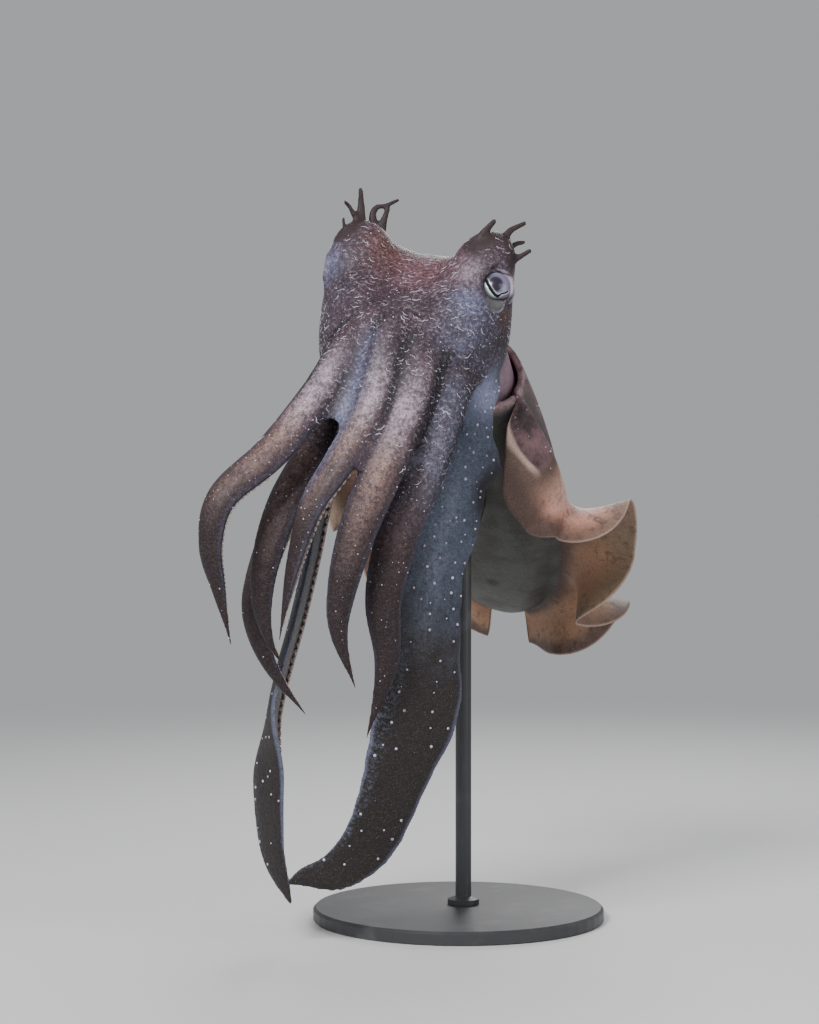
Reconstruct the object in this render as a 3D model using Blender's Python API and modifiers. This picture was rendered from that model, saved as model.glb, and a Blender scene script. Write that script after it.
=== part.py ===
"""A giant Australian cuttlefish, Sepia apama, as a still life-size display model on a stand.

It hovers with its head raised, the eight arms hanging in front and the mantle sloping down behind.
Metres, +Z up. The viewer looks along +Y, so the animal's left side is at +X. The origin is the
middle of the stand's underside.
"""

import math

import bmesh
import bpy
from mathutils import Matrix, Vector

# Driving sizes of the animal
MANTLE_LENGTH = 0.288
MANTLE_HALF_WIDTH = 0.069
MANTLE_BACK = 0.044
MANTLE_BELLY = 0.038
EYE_RADIUS = 0.0150
FIN_WIDTH = 0.064
FIN_ROOT_THICKNESS = 0.0080
FIN_EDGE_THICKNESS = 0.0014

# Where the head and the mantle lie, and how they are turned, in degrees
HEAD_CENTRE = (-0.027, -0.085, 0.462)
HEAD_YAW, HEAD_PITCH, HEAD_ROLL = -25.0, 40.0, -9.0
COLLAR_CENTRE = (-0.010, -0.035, 0.410)
MANTLE_YAW, MANTLE_PITCH, MANTLE_ROLL = -14.8, -38.7, -12.0

# The gap between nodes that touch
GAP = 0.0003

# The colour, roughness and metallic value of each material
MATERIALS = {
    "skin": ((0.19, 0.12, 0.10), 0.55, 0.0),
    "mantle_skin": ((0.24, 0.21, 0.18), 0.55, 0.0),
    "fin_skin": ((0.52, 0.27, 0.16), 0.50, 0.0),
    "mouth_skin": ((0.55, 0.45, 0.40), 0.45, 0.0),
    "eye": ((0.62, 0.66, 0.68), 0.12, 0.0),
    "stand_paint": ((0.05, 0.05, 0.055), 0.45, 0.0),
}


# General helpers


def clear_scene():
    for obj in list(bpy.data.objects):
        bpy.data.objects.remove(obj, do_unlink=True)


def animal_frame(origin, yaw, pitch, roll):
    """X points to the animal's front, Y to its left and Z to its back. Unturned, it faces the viewer."""
    facing = Matrix(((0, 1, 0, 0), (-1, 0, 0, 0), (0, 0, 1, 0), (0, 0, 0, 1)))
    turn = Matrix.Rotation(math.radians(yaw), 4, "Z")
    nod = Matrix.Rotation(math.radians(pitch), 4, "Y")
    lean = Matrix.Rotation(math.radians(roll), 4, "X")
    return Matrix.Translation(origin) @ turn @ facing @ nod @ lean


def mix(a, b, share):
    return a + (b - a) * share


def ease(low, high, value):
    """0 below low, 1 above high, smooth between."""
    share = max(0.0, min(1.0, (value - low) / (high - low)))
    return share * share * (3 - 2 * share)


def by_station(stations, t):
    """Reads a list of (station, value) pairs at t, with the values blended smoothly."""
    for (low, start), (high, end) in zip(stations, stations[1:]):
        if t <= high:
            share = ease(low, high, t)
            return tuple(mix(a, b, share) for a, b in zip(start, end))
    return stations[-1][1]


def smooth_line(points, count):
    """count points evenly spaced on a smooth curve through the given ones, and the curve's length."""
    knots = [Vector(p) for p in points]
    knots = [2 * knots[0] - knots[1]] + knots + [2 * knots[-1] - knots[-2]]
    fine = []
    steps = 24
    for a, b, c, d in zip(knots, knots[1:], knots[2:], knots[3:]):
        for step in range(steps):
            u = step / steps
            fine.append(
                0.5 * (2 * b + (c - a) * u + (2 * a - 5 * b + 4 * c - d) * u**2
                       + (3 * b - 3 * c + d - a) * u**3)
            )
    fine.append(knots[-2])
    reach = [0.0]
    for a, b in zip(fine, fine[1:]):
        reach.append(reach[-1] + (b - a).length)
    line = []
    k = 0
    for n in range(count):
        goal = reach[-1] * n / (count - 1)
        while k < len(fine) - 2 and reach[k + 1] < goal:
            k += 1
        line.append(fine[k].lerp(fine[k + 1], (goal - reach[k]) / (reach[k + 1] - reach[k])))
    return line, reach[-1]


def ring_about(centre, across, along, wide, deep, count):
    turns = [2 * math.pi * k / count for k in range(count)]
    return [centre + across * wide * math.cos(t) + along * deep * math.sin(t) for t in turns]


def link_mesh(name, work):
    """Makes an object of a bmesh, with its faces pointing out."""
    bmesh.ops.recalc_face_normals(work, faces=work.faces)
    if work.calc_volume(signed=True) < 0:
        bmesh.ops.reverse_faces(work, faces=work.faces)
    mesh = bpy.data.meshes.new(name)
    work.to_mesh(mesh)
    work.free()
    obj = bpy.data.objects.new(name, mesh)
    bpy.context.scene.collection.objects.link(obj)
    return obj


def mesh_object(name, points, faces):
    work = bmesh.new()
    verts = [work.verts.new(p) for p in points]
    for face in faces:
        work.faces.new([verts[k] for k in face])
    return link_mesh(name, work)


def loft(name, rings):
    """A closed solid through rings with equal counts of points; its first and last rings are capped."""
    count = len(rings[0])
    points = [p for ring in rings for p in ring]
    faces = []
    for r in range(len(rings) - 1):
        for k in range(count):
            a = r * count + k
            b = r * count + (k + 1) % count
            faces.append((a, b, b + count, a + count))
    last = (len(rings) - 1) * count
    faces.append(tuple(reversed(range(count))))
    faces.append(tuple(last + k for k in range(count)))
    return mesh_object(name, points, faces)


def ball(name, frame, centre, radii, fineness=3):
    """An ellipsoid with its radii along the frame's axes."""
    work = bmesh.new()
    bmesh.ops.create_icosphere(work, subdivisions=fineness, radius=1.0)
    work.transform(frame @ Matrix.Translation(centre) @ Matrix.Diagonal((*radii, 1.0)))
    return link_mesh(name, work)


def settle(obj):
    """Turns the object's live modifiers into its mesh."""
    graph = bpy.context.evaluated_depsgraph_get()
    mesh = bpy.data.meshes.new_from_object(obj.evaluated_get(graph))
    obj.modifiers.clear()
    old = obj.data
    obj.data = mesh
    bpy.data.meshes.remove(old)


def turned(name, profile, sides):
    """A solid turned about the vertical through the origin, from a profile of (radius, height)."""
    work = bmesh.new()
    outline = [(0.0, profile[0][1]), *profile, (0.0, profile[-1][1])]
    verts = [work.verts.new((radius, 0, height)) for radius, height in reversed(outline)]
    for a, b in zip(verts, verts[1:]):
        work.edges.new((a, b))
    mesh = bpy.data.meshes.new(name)
    work.to_mesh(mesh)
    work.free()
    obj = bpy.data.objects.new(name, mesh)
    bpy.context.scene.collection.objects.link(obj)
    screw = obj.modifiers.new("screw", "SCREW")
    screw.steps = screw.render_steps = sides
    screw.use_merge_vertices = True
    screw.merge_threshold = 0.00001
    settle(obj)
    return obj


def keep_largest(obj):
    """Leaves only the largest closed surface, so that loose scraps and sealed hollows go."""
    work = bmesh.new()
    work.from_mesh(obj.data)
    bmesh.ops.remove_doubles(work, verts=work.verts, dist=1e-7)
    left = set(work.faces)
    shells = []
    while left:
        stack = [left.pop()]
        shell = list(stack)
        while stack:
            for edge in stack.pop().edges:
                for face in edge.link_faces:
                    if face in left:
                        left.remove(face)
                        stack.append(face)
                        shell.append(face)
        shells.append(shell)
    shells.sort(key=lambda faces: sum(face.calc_area() for face in faces))
    spare = [face for shell in shells[:-1] for face in shell]
    bmesh.ops.delete(work, geom=spare, context="FACES")
    bmesh.ops.triangulate(work, faces=work.faces)
    work.to_mesh(obj.data)
    work.free()


def join_all(base, others):
    """One Boolean union of the base with closed pieces, which are then removed."""
    pieces = bpy.data.collections.new(base.name + "_pieces")
    bpy.context.scene.collection.children.link(pieces)
    for other in others:
        bpy.context.scene.collection.objects.unlink(other)
        pieces.objects.link(other)
    union = base.modifiers.new("union", "BOOLEAN")
    union.operation = "UNION"
    union.operand_type = "COLLECTION"
    union.collection = pieces
    union.solver = "MANIFOLD"
    settle(base)
    for other in others:
        bpy.data.objects.remove(other, do_unlink=True)
    bpy.data.collections.remove(pieces)
    keep_largest(base)
    return base


def cut(obj, cutter):
    """Takes the cutter's volume out of the object and removes the cutter."""
    minus = obj.modifiers.new("cut", "BOOLEAN")
    minus.operation = "DIFFERENCE"
    minus.object = cutter
    minus.solver = "MANIFOLD"
    settle(obj)
    bpy.data.objects.remove(cutter, do_unlink=True)
    return obj


def swollen(obj, by):
    """A copy of a solid whose faces all stand further out by the given distance."""
    work = bmesh.new()
    work.from_mesh(obj.data)
    bmesh.ops.triangulate(work, faces=work.faces)
    work.normal_update()
    moves = []
    for vert in work.verts:
        lean = min(vert.normal.dot(face.normal) for face in vert.link_faces)
        moves.append(vert.normal * by / max(lean, 0.45))
    for vert, move in zip(work.verts, moves):
        vert.co += move
    return link_mesh(obj.name + "_swollen", work)


def clear_of(obj, *neighbours):
    """Cuts the object back until it stands clear of each neighbour by the gap."""
    for neighbour in neighbours:
        cut(obj, swollen(neighbour, GAP))
    keep_largest(obj)
    return obj


def finish_part(obj, collection, slot):
    """Gives a part its material, shading and place in the model's collection."""
    material = bpy.data.materials.get(slot)
    if material is None:
        colour, roughness, metallic = MATERIALS[slot]
        material = bpy.data.materials.new(slot)
        material.use_nodes = True
        shader = material.node_tree.nodes["Principled BSDF"]
        shader.inputs["Base Color"].default_value = (*colour, 1.0)
        shader.inputs["Roughness"].default_value = roughness
        shader.inputs["Metallic"].default_value = metallic
    obj.data.materials.clear()
    obj.data.materials.append(material)
    obj.data.shade_smooth()
    obj.data.set_sharp_from_angle(angle=math.radians(50))
    bpy.context.scene.collection.objects.unlink(obj)
    collection.objects.link(obj)


head_frame = animal_frame(HEAD_CENTRE, HEAD_YAW, HEAD_PITCH, HEAD_ROLL)
mantle_frame = animal_frame(COLLAR_CENTRE, MANTLE_YAW, MANTLE_PITCH, MANTLE_ROLL)


# The mantle: a flattened oval sac, blunt at the tail, with a free collar round the neck

MANTLE_SIDES = 28
MANTLE_RINGS = 15
WIDEST_STATION = 0.35
COLLAR_NARROWING = 0.009
COLLAR_LOBE = 0.016
COLLAR_WALL = 0.0055
COLLAR_DEPTH = 0.024


def mantle_taper(t):
    """The mantle's breadth at station t, 0 at the collar and 1 at the tail, as a share of the greatest."""
    if t < WIDEST_STATION:
        return 1 - COLLAR_NARROWING / MANTLE_HALF_WIDTH * (1 - t / WIDEST_STATION) ** 2
    return math.sqrt(max(0.0, 1 - ((t - WIDEST_STATION) / (1 - WIDEST_STATION)) ** 2.4))


def mantle_point(t, angle, inward=0.0):
    """A point of the mantle's wall: angle 0 is its left edge and a quarter turn is its back."""
    breadth = MANTLE_HALF_WIDTH * mantle_taper(t) - inward
    side, rise = math.cos(angle), math.sin(angle)
    depth = (MANTLE_BACK if rise > 0 else MANTLE_BELLY) * mantle_taper(t) ** 0.9 - inward
    lobe = COLLAR_LOBE * max(0.0, rise) ** 1.5 * (1 - ease(0, 0.25, t))
    flat = math.copysign(abs(rise) ** 0.9, rise)
    return mantle_frame @ Vector((-MANTLE_LENGTH * t + lobe, breadth * side, depth * flat))


def make_mantle():
    turns = [2 * math.pi * k / MANTLE_SIDES for k in range(MANTLE_SIDES)]
    stations = [math.sin(math.pi / 2 * r / MANTLE_RINGS) for r in range(MANTLE_RINGS)] + [0.9985]
    rings = [[mantle_point(t, a) for a in turns] for t in reversed(stations)]
    recess = COLLAR_DEPTH / MANTLE_LENGTH
    for t, inward in ((0.004, 0.75), (recess / 2, 1.1), (recess, 1.5)):
        rings.append([mantle_point(t, a, COLLAR_WALL * inward) for a in turns])
    mantle = loft("mantle", rings)
    keep_largest(mantle)
    return mantle


# The fins: a frilled sheet along each side of the mantle, from the collar round to the tail

FIN_START, FIN_END = 0.035, 0.975
FIN_ROOT_ANGLE = math.radians(-12)
FIN_ROOT_SINK = 0.004
FIN_SPAN_STEPS = 5
FIN_STEPS = 45
FIN_LENGTHS = {"fore": (0, 15), "middle": (15, 30), "hind": (30, 45)}
FIN_FAN = math.radians(98)
# Each fin's waves, as its angle to the mantle's broad plane in degrees at stations along its root
FIN_WAVES = {
    "left": [(0.035, (-128,)), (0.16, (-126,)), (0.27, (-112,)), (0.38, (-85,)), (0.485, (28,)),
             (0.60, (0,)), (0.72, (-76,)), (0.80, (18,)), (0.88, (-62,)), (0.975, (-25,))],
    "right": [(0.035, (-60,)), (0.13, (-18,)), (0.22, (-4,)), (0.32, (-52,)), (0.40, (-18,)),
              (0.47, (8,)), (0.56, (-48,)), (0.64, (-20,)), (0.72, (5,)), (0.81, (-55,)),
              (0.90, (-15,)), (0.975, (-30,))],
}


def fin_width(t):
    front = ease(FIN_START - 0.05, FIN_START + 0.14, t)
    return FIN_WIDTH * (0.30 + 0.70 * front) * (1 - 0.42 * ease(0.78, 1.0, t))


def fin_ray(side, t, waves):
    """Points from the root to the edge of the fin's middle sheet."""
    root = mantle_point(t, FIN_ROOT_ANGLE if side > 0 else math.pi - FIN_ROOT_ANGLE)
    turn = mantle_frame.to_3x3()
    fan = FIN_FAN * ease(0.68, 1.0, t)
    out = turn @ Vector((-math.sin(fan), side * math.cos(fan), 0))
    up = turn @ Vector((0, 0, 1))
    droop_at_edge = math.radians(by_station(waves, t)[0])
    place = root - out * FIN_ROOT_SINK
    points = [place]
    step = fin_width(t) / FIN_SPAN_STEPS
    for j in range(FIN_SPAN_STEPS):
        droop = droop_at_edge * ease(-0.1, 0.62, (j + 0.5) / FIN_SPAN_STEPS)
        stride = step + (FIN_ROOT_SINK if j == 0 else 0)
        place = place + (out * math.cos(droop) + up * math.sin(droop)) * stride
        points.append(place)
    return points


def make_fin(name, side, waves, first, last):
    """One length of a fin: its middle sheet thickened to both sides, with like triangles on both."""
    stations = [mix(FIN_START, FIN_END, i / FIN_STEPS) for i in range(first, last + 1)]
    if first > 0:
        stations[0] += GAP / MANTLE_LENGTH
    sheet = [fin_ray(side, t, waves) for t in stations]
    rows, columns = len(sheet), FIN_SPAN_STEPS + 1
    upper, lower = [], []
    for i in range(rows):
        for j in range(columns):
            along = sheet[min(i + 1, rows - 1)][j] - sheet[max(i - 1, 0)][j]
            across = sheet[i][min(j + 1, columns - 1)] - sheet[i][max(j - 1, 0)]
            span = j / FIN_SPAN_STEPS
            half = mix(FIN_EDGE_THICKNESS, FIN_ROOT_THICKNESS, (1 - span) ** 2) / 2
            lift = along.cross(across).normalized() * half
            upper.append(sheet[i][j] + lift)
            lower.append(sheet[i][j] - lift)
    under = rows * columns
    faces = []
    for i in range(rows - 1):
        for j in range(columns - 1):
            a = i * columns + j
            b, c, d = a + 1, a + 1 + columns, a + columns
            faces += [(a, b, c), (a, c, d)]
            faces += [(a + under, c + under, b + under), (a + under, d + under, c + under)]
    rim = list(range(columns))
    rim += [i * columns + columns - 1 for i in range(1, rows)]
    rim += [(rows - 1) * columns + j for j in reversed(range(columns - 1))]
    rim += [i * columns for i in reversed(range(1, rows - 1))]
    for a, b in zip(rim, rim[1:] + rim[:1]):
        faces.append((a, a + under, b + under, b))
    return mesh_object(name, upper + lower, faces)


# The eight arms. Roots are in the head's frame, as forward, left and up. The other points, and the
# ways that the outer side faces at shares of the arm's length, are in the model's.

ARMS = {
    "arm_right_1": dict(
        root=(0.050, -0.012, 0.024), width=0.026, thick=0.017,
        line=[(-0.077, -0.135, 0.428), (-0.100, -0.149, 0.389), (-0.131, -0.165, 0.349),
              (-0.164, -0.177, 0.318), (-0.172, -0.177, 0.286), (-0.167, -0.171, 0.255),
              (-0.159, -0.165, 0.217)],
        outer=[(0.0, (-0.2, -0.9, 0.4)), (1.0, (-0.55, -0.8, 0.3))]),
    "arm_right_2": dict(
        root=(0.050, -0.036, 0.014), width=0.027, thick=0.016,
        line=[(-0.088, -0.107, 0.416), (-0.102, -0.131, 0.358), (-0.124, -0.145, 0.313),
              (-0.136, -0.149, 0.275), (-0.139, -0.147, 0.244), (-0.134, -0.143, 0.218),
              (-0.124, -0.139, 0.200)],
        outer=[(0.0, (-0.6, -0.7, 0.3)), (1.0, (-0.35, -0.95, 0.1))]),
    "arm_right_3": dict(
        root=(0.046, -0.047, -0.004), width=0.028, thick=0.015,
        line=[(-0.083, -0.085, 0.403), (-0.099, -0.103, 0.352), (-0.128, -0.119, 0.302),
              (-0.143, -0.125, 0.260), (-0.146, -0.123, 0.232), (-0.134, -0.121, 0.198),
              (-0.110, -0.119, 0.165)],
        outer=[(0.0, (-0.9, -0.4, 0.1)), (1.0, (-0.55, -0.8, 0.0))]),
    "arm_right_4": dict(
        root=(0.025, -0.050, -0.012), width=0.056, thick=0.010, banner=True,
        line=[(-0.072, -0.063, 0.390), (-0.089, -0.069, 0.353), (-0.100, -0.073, 0.317),
              (-0.109, -0.077, 0.273), (-0.119, -0.081, 0.230), (-0.129, -0.085, 0.193),
              (-0.136, -0.089, 0.159), (-0.138, -0.093, 0.123), (-0.137, -0.097, 0.087),
              (-0.133, -0.102, 0.060), (-0.121, -0.109, 0.030)],
        outer=[(0.0, (-0.99, 0.0, -0.1)), (0.66, (-0.99, -0.05, 0.0)),
               (0.80, (-0.86, -0.5, 0.0)), (1.0, (-0.80, -0.6, 0.0))]),
    "arm_left_1": dict(
        root=(0.050, 0.012, 0.024), width=0.024, thick=0.015,
        line=[(-0.050, -0.147, 0.431), (-0.064, -0.163, 0.378), (-0.084, -0.171, 0.343),
              (-0.103, -0.175, 0.313), (-0.114, -0.173, 0.279), (-0.121, -0.169, 0.248),
              (-0.126, -0.165, 0.220)],
        outer=[(0.0, (0.0, -0.9, 0.4)), (1.0, (-0.85, -0.45, 0.0))]),
    "arm_left_2": dict(
        root=(0.050, 0.034, 0.016), width=0.027, thick=0.017,
        line=[(-0.024, -0.147, 0.424), (-0.037, -0.161, 0.381), (-0.054, -0.171, 0.340),
              (-0.072, -0.175, 0.296), (-0.083, -0.173, 0.255), (-0.085, -0.169, 0.224),
              (-0.074, -0.163, 0.187)],
        outer=[(0.0, (0.1, -0.95, 0.3)), (1.0, (-0.1, -1.0, 0.1))]),
    "arm_left_3": dict(
        root=(0.046, 0.045, -0.002), width=0.029, thick=0.017,
        line=[(0.000, -0.135, 0.418), (-0.010, -0.143, 0.386), (-0.026, -0.149, 0.340),
              (-0.045, -0.151, 0.292), (-0.055, -0.149, 0.247), (-0.053, -0.143, 0.202),
              (-0.067, -0.135, 0.150)],
        outer=[(0.0, (0.4, -0.9, 0.2)), (1.0, (0.1, -1.0, 0.0))]),
    "arm_left_4": dict(
        root=(0.025, 0.050, -0.012), width=0.061, thick=0.010, banner=True,
        line=[(0.017, -0.105, 0.405), (0.012, -0.107, 0.366), (0.000, -0.109, 0.317),
              (-0.011, -0.111, 0.274), (-0.020, -0.113, 0.232), (-0.028, -0.115, 0.189),
              (-0.042, -0.117, 0.144), (-0.062, -0.115, 0.097), (-0.087, -0.112, 0.063),
              (-0.122, -0.115, 0.046)],
        outer=[(0.0, (0.5, -0.85, 0.1)), (1.0, (0.35, -0.9, 0.1))]),
}
ARM_SIDES = 10
ARM_RINGS = 26
ARM_CUTS = {"base": (0.0, 0.40), "middle": (0.40, 0.72), "tip": (0.72, 1.0)}
CROWN_REACH = 0.070
SUCKER_RADIUS = 0.0036
SUCKER_SMALLEST = 0.0010
SUCKER_HEIGHT = 0.85
SUCKER_SINK = 0.0012
SUCKER_SIDES = 5
SUCKER_SPACING = 3.9


def arm_breadth(s, arm):
    """An arm's breadth at share s of its length, as a part of its greatest."""
    if arm.get("banner"):
        return (0.45 + 0.55 * ease(0.02, 0.36, s)) * (1 - 0.94 * s**9)
    swell = 0.84 + 0.20 * math.sin(math.pi * min(1.0, s / 0.85))
    return swell * (1 - 0.985 * s**5) * (1 - 0.30 * ease(0.80, 1.0, s))


def arm_thickness(s, arm):
    if arm.get("banner"):
        return mix(0.016, arm["thick"], ease(0.0, 0.25, s)) * (1 - 0.90 * s**5)
    return arm["thick"] * (1 - 0.93 * s**3.5) * (1 - 0.25 * ease(0.80, 1.0, s))


def arm_rows(arm):
    """At even shares of its length, the arm's place, broad way and outer way; then its length."""
    line, length = smooth_line([head_frame @ Vector(arm["root"]), *arm["line"]], ARM_RINGS)
    rows = []
    for n, place in enumerate(line):
        s = n / (ARM_RINGS - 1)
        tangent = (line[min(n + 1, ARM_RINGS - 1)] - line[max(n - 1, 0)]).normalized()
        outer = Vector(by_station(arm["outer"], s))
        outer = (outer - tangent * outer.dot(tangent)).normalized()
        rows.append((s, place, outer.cross(tangent), outer))
    return rows, length


def row_at(rows, share):
    spot = share * (len(rows) - 1)
    k = min(int(spot), len(rows) - 2)
    place, broad, outer = (a.lerp(b, spot - k) for a, b in zip(rows[k][1:], rows[k + 1][1:]))
    return share, place, broad.normalized(), outer.normalized()


def arm_ring(row, arm, grow):
    """The arm's section: rounded outside and flatter inside, or a lens on a banner arm."""
    s, place, broad, outer = row
    half_width = arm["width"] * arm_breadth(s, arm) / 2 + grow
    half_thick = arm_thickness(s, arm) / 2 + grow
    ring = []
    for k in range(ARM_SIDES):
        turn = 2 * math.pi * k / ARM_SIDES
        side, rise = math.cos(turn), math.sin(turn)
        if arm.get("banner"):
            rise = math.copysign(abs(rise) ** 1.35, rise)
        elif rise < 0:
            rise *= 0.72
        ring.append(place + broad * half_width * side + outer * half_thick * rise)
    return ring


def arm_solid(name, arm, start, end, grow=0.0):
    rows, _ = arm_rows(arm)
    inner = [row for row in rows if start + 0.01 < row[0] < end - 0.01]
    chosen = [row_at(rows, start), *inner, row_at(rows, end)]
    return loft(name, [arm_ring(row, arm, grow) for row in chosen])


def make_sucker(place, outward, across, radius):
    """A short flared cup, hollow at the top, that faces outward with its foot sunk in the arm."""
    along = outward.cross(across)
    height = radius * SUCKER_HEIGHT
    foot = ring_about(place - outward * SUCKER_SINK, across, along, radius * 0.7, radius * 0.7, SUCKER_SIDES)
    rim = ring_about(place + outward * height, across, along, radius, radius, SUCKER_SIDES)
    hollow = place + outward * height * 0.3
    faces = [tuple(range(SUCKER_SIDES))]
    for k in range(SUCKER_SIDES):
        after = (k + 1) % SUCKER_SIDES
        faces.append((k, after, after + SUCKER_SIDES, k + SUCKER_SIDES))
        faces.append((k + SUCKER_SIDES, after + SUCKER_SIDES, 2 * SUCKER_SIDES))
    return mesh_object("sucker", foot + rim + [hollow], faces)


def suckers_between(arm, start, end):
    """Suckers in two alternating rows along the arm's inner side, smaller towards the tip."""
    rows, length = arm_rows(arm)
    cups = []
    s = (CROWN_REACH + SUCKER_RADIUS * 2) / length
    count = 0
    while s < 0.95:
        width = arm["width"] * arm_breadth(s, arm)
        radius = max(SUCKER_SMALLEST, SUCKER_RADIUS * min(1.0, 0.3 + 1.3 * (1 - s), width / 0.018))
        margin = radius * 1.3 / length
        if start + margin < s < end - margin:
            _, place, broad, outer = row_at(rows, s)
            drop = arm_thickness(s, arm) / 2 * (0.92 if arm.get("banner") else 0.68)
            aside = (1 if count % 2 else -1) * min(width * 0.22, radius * 1.3)
            cups.append(make_sucker(place + broad * aside - outer * drop, -outer, broad, radius))
        s += SUCKER_SPACING * radius / length
        count += 1
    return cups


def make_arms():
    """Each arm in three lengths, with its suckers, past the stretch that is one with the crown."""
    nodes = {}
    for name, arm in ARMS.items():
        _, length = arm_rows(arm)
        crown = CROWN_REACH / length
        for part, (low, high) in ARM_CUTS.items():
            start = mix(crown, 1.0, low) + GAP / length
            end = mix(crown, 1.0, high)
            solid = arm_solid(f"{name}_{part}", arm, start, end)
            nodes[solid.name] = join_all(solid, suckers_between(arm, start, end))
    return nodes


# The head: a broad flat face with a turret at each side that carries the eye, and the crown that
# the arms grow from. Places are in the head's frame: forward, left, up.

EYE_CENTRE = (0.000, 0.0545, 0.012)
EYE_AXIS = (0.38, 0.91, 0.10)
LID_RADIUS = 0.0150
LID_THICKNESS = 0.0034
OPENING_RADIUS = 0.0125
# Each turret's rings from the cheek to the crest: forward, out, up, half length and half breadth
TURRET = [(0.032, 0.040, -0.046, 0.016, 0.010), (0.028, 0.042, -0.036, 0.036, 0.022),
          (0.019, 0.043, -0.018, 0.041, 0.0245), (0.008, 0.042, 0.000, 0.039, 0.0255),
          (-0.004, 0.0425, 0.014, 0.034, 0.0245), (-0.013, 0.044, 0.026, 0.027, 0.0235),
          (-0.020, 0.046, 0.036, 0.019, 0.0185), (-0.023, 0.047, 0.043, 0.007, 0.008)]
# How much further out each turret stands than the rings say, on the left and on the right
TURRET_SPREAD = {1: 0.0, -1: 0.0055}
FLESH_VOXEL = 0.0026
FLESH_FACES = 2500
CROWN_CUT = 0.050
WEB_THICKNESS = 0.0070
WEB_ORDER = ["arm_right_1", "arm_right_2", "arm_right_3", "arm_right_4",
             "arm_left_4", "arm_left_3", "arm_left_2", "arm_left_1"]


def mirrored(point, side):
    return Vector((point[0], point[1] * side, point[2]))


def eye_place(side):
    return mirrored((EYE_CENTRE[0], EYE_CENTRE[1] + TURRET_SPREAD[side], EYE_CENTRE[2]), side)


def make_turret(side):
    forward = head_frame.to_3x3() @ Vector((1, 0, 0))
    left = head_frame.to_3x3() @ Vector((0, 1, 0))
    rings = []
    for x, y, z, long_half, broad_half in TURRET:
        centre = head_frame @ mirrored((x, y + TURRET_SPREAD[side], z), side)
        rings.append(ring_about(centre, forward, left, long_half, broad_half, 16))
    return loft("turret", rings)


def make_lids(side):
    """A thick ring round the eye's opening."""
    centre = head_frame @ eye_place(side)
    axis = (head_frame.to_3x3() @ mirrored(EYE_AXIS, side)).normalized()
    turn = axis.to_track_quat("Z", "Y").to_matrix()
    segments, sides = 24, 8
    points = []
    for n in range(segments):
        angle = 2 * math.pi * n / segments
        way = turn @ Vector((math.cos(angle), math.sin(angle), 0))
        middle = centre + axis * EYE_RADIUS * 0.42 + way * LID_RADIUS
        points += ring_about(middle, way, axis, LID_THICKNESS, LID_THICKNESS, sides)
    faces = []
    for n in range(segments):
        for k in range(sides):
            a, b = n * sides + k, n * sides + (k + 1) % sides
            shift = sides if n < segments - 1 else sides * (1 - segments)
            faces.append((a, b, b + shift, a + shift))
    return mesh_object("lids", points, faces)


def make_opening(side):
    """A flared block that clears the flesh in front of an eye."""
    centre = head_frame @ eye_place(side)
    axis = (head_frame.to_3x3() @ mirrored(EYE_AXIS, side)).normalized()
    turn = axis.to_track_quat("Z", "Y").to_matrix()
    across, along = turn @ Vector((1, 0, 0)), turn @ Vector((0, 1, 0))
    rings = [ring_about(centre + axis * reach, across, along, OPENING_RADIUS * share,
                        OPENING_RADIUS * share, 16) for reach, share in ((0.002, 0.8), (0.034, 1.5))]
    return loft("opening", rings)


def make_web(first, second):
    """The web between the roots of two neighbouring arms."""
    rows_a, length_a = arm_rows(ARMS[first])
    rows_b, length_b = arm_rows(ARMS[second])
    rings = []
    for n in range(8):
        reach = CROWN_REACH * mix(0.05, 0.98, n / 7)
        _, place_a, _, outer_a = row_at(rows_a, reach / length_a)
        _, place_b, _, outer_b = row_at(rows_b, reach / length_b)
        across = place_b - place_a
        outer = outer_a + outer_b
        outer = (outer - across * outer.dot(across) / across.length_squared).normalized()
        middle = (place_a + place_b) / 2
        rings.append(ring_about(middle, across, outer, 0.5, WEB_THICKNESS / 2, 12))
    return loft("web", rings)


def make_neck():
    """From the head's back down into the mantle's collar."""
    start = head_frame @ Vector((0.004, 0, -0.010))
    end = mantle_frame @ Vector((-COLLAR_DEPTH - 0.004, 0, 0.002))
    left = mantle_frame.to_3x3() @ Vector((0, 1, 0))
    up = mantle_frame.to_3x3() @ Vector((0, 0, 1))
    rings = [ring_about(start.lerp(end, n / 6), left, up, mix(0.053, 0.046, n / 6),
                        mix(0.037, 0.027, n / 6), 24) for n in range(7)]
    return loft("neck", rings)


def head_lumps():
    """The closed lumps whose blend is the head and crown."""
    lumps = [
        ball("cranium", head_frame, (-0.006, 0.0, -0.008), (0.044, 0.058, 0.029)),
        ball("saddle", head_frame, (0.006, 0.0, 0.001), (0.040, 0.062, 0.020)),
        ball("face", head_frame, (0.044, -0.002, -0.006), (0.046, 0.061, 0.030)),
        ball("core", head_frame, (0.056, 0.0, -0.018), (0.034, 0.046, 0.028)),
        make_neck(),
    ]
    for side in (1, -1):
        lumps += [make_turret(side), make_lids(side)]
    for arm in ARMS.values():
        _, length = arm_rows(arm)
        lumps.append(arm_solid("stub", arm, 0.0, (CROWN_REACH + 0.010) / length))
    for first, second in zip(WEB_ORDER, WEB_ORDER[1:] + WEB_ORDER[:1]):
        lumps.append(make_web(first, second))
    return lumps


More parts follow.
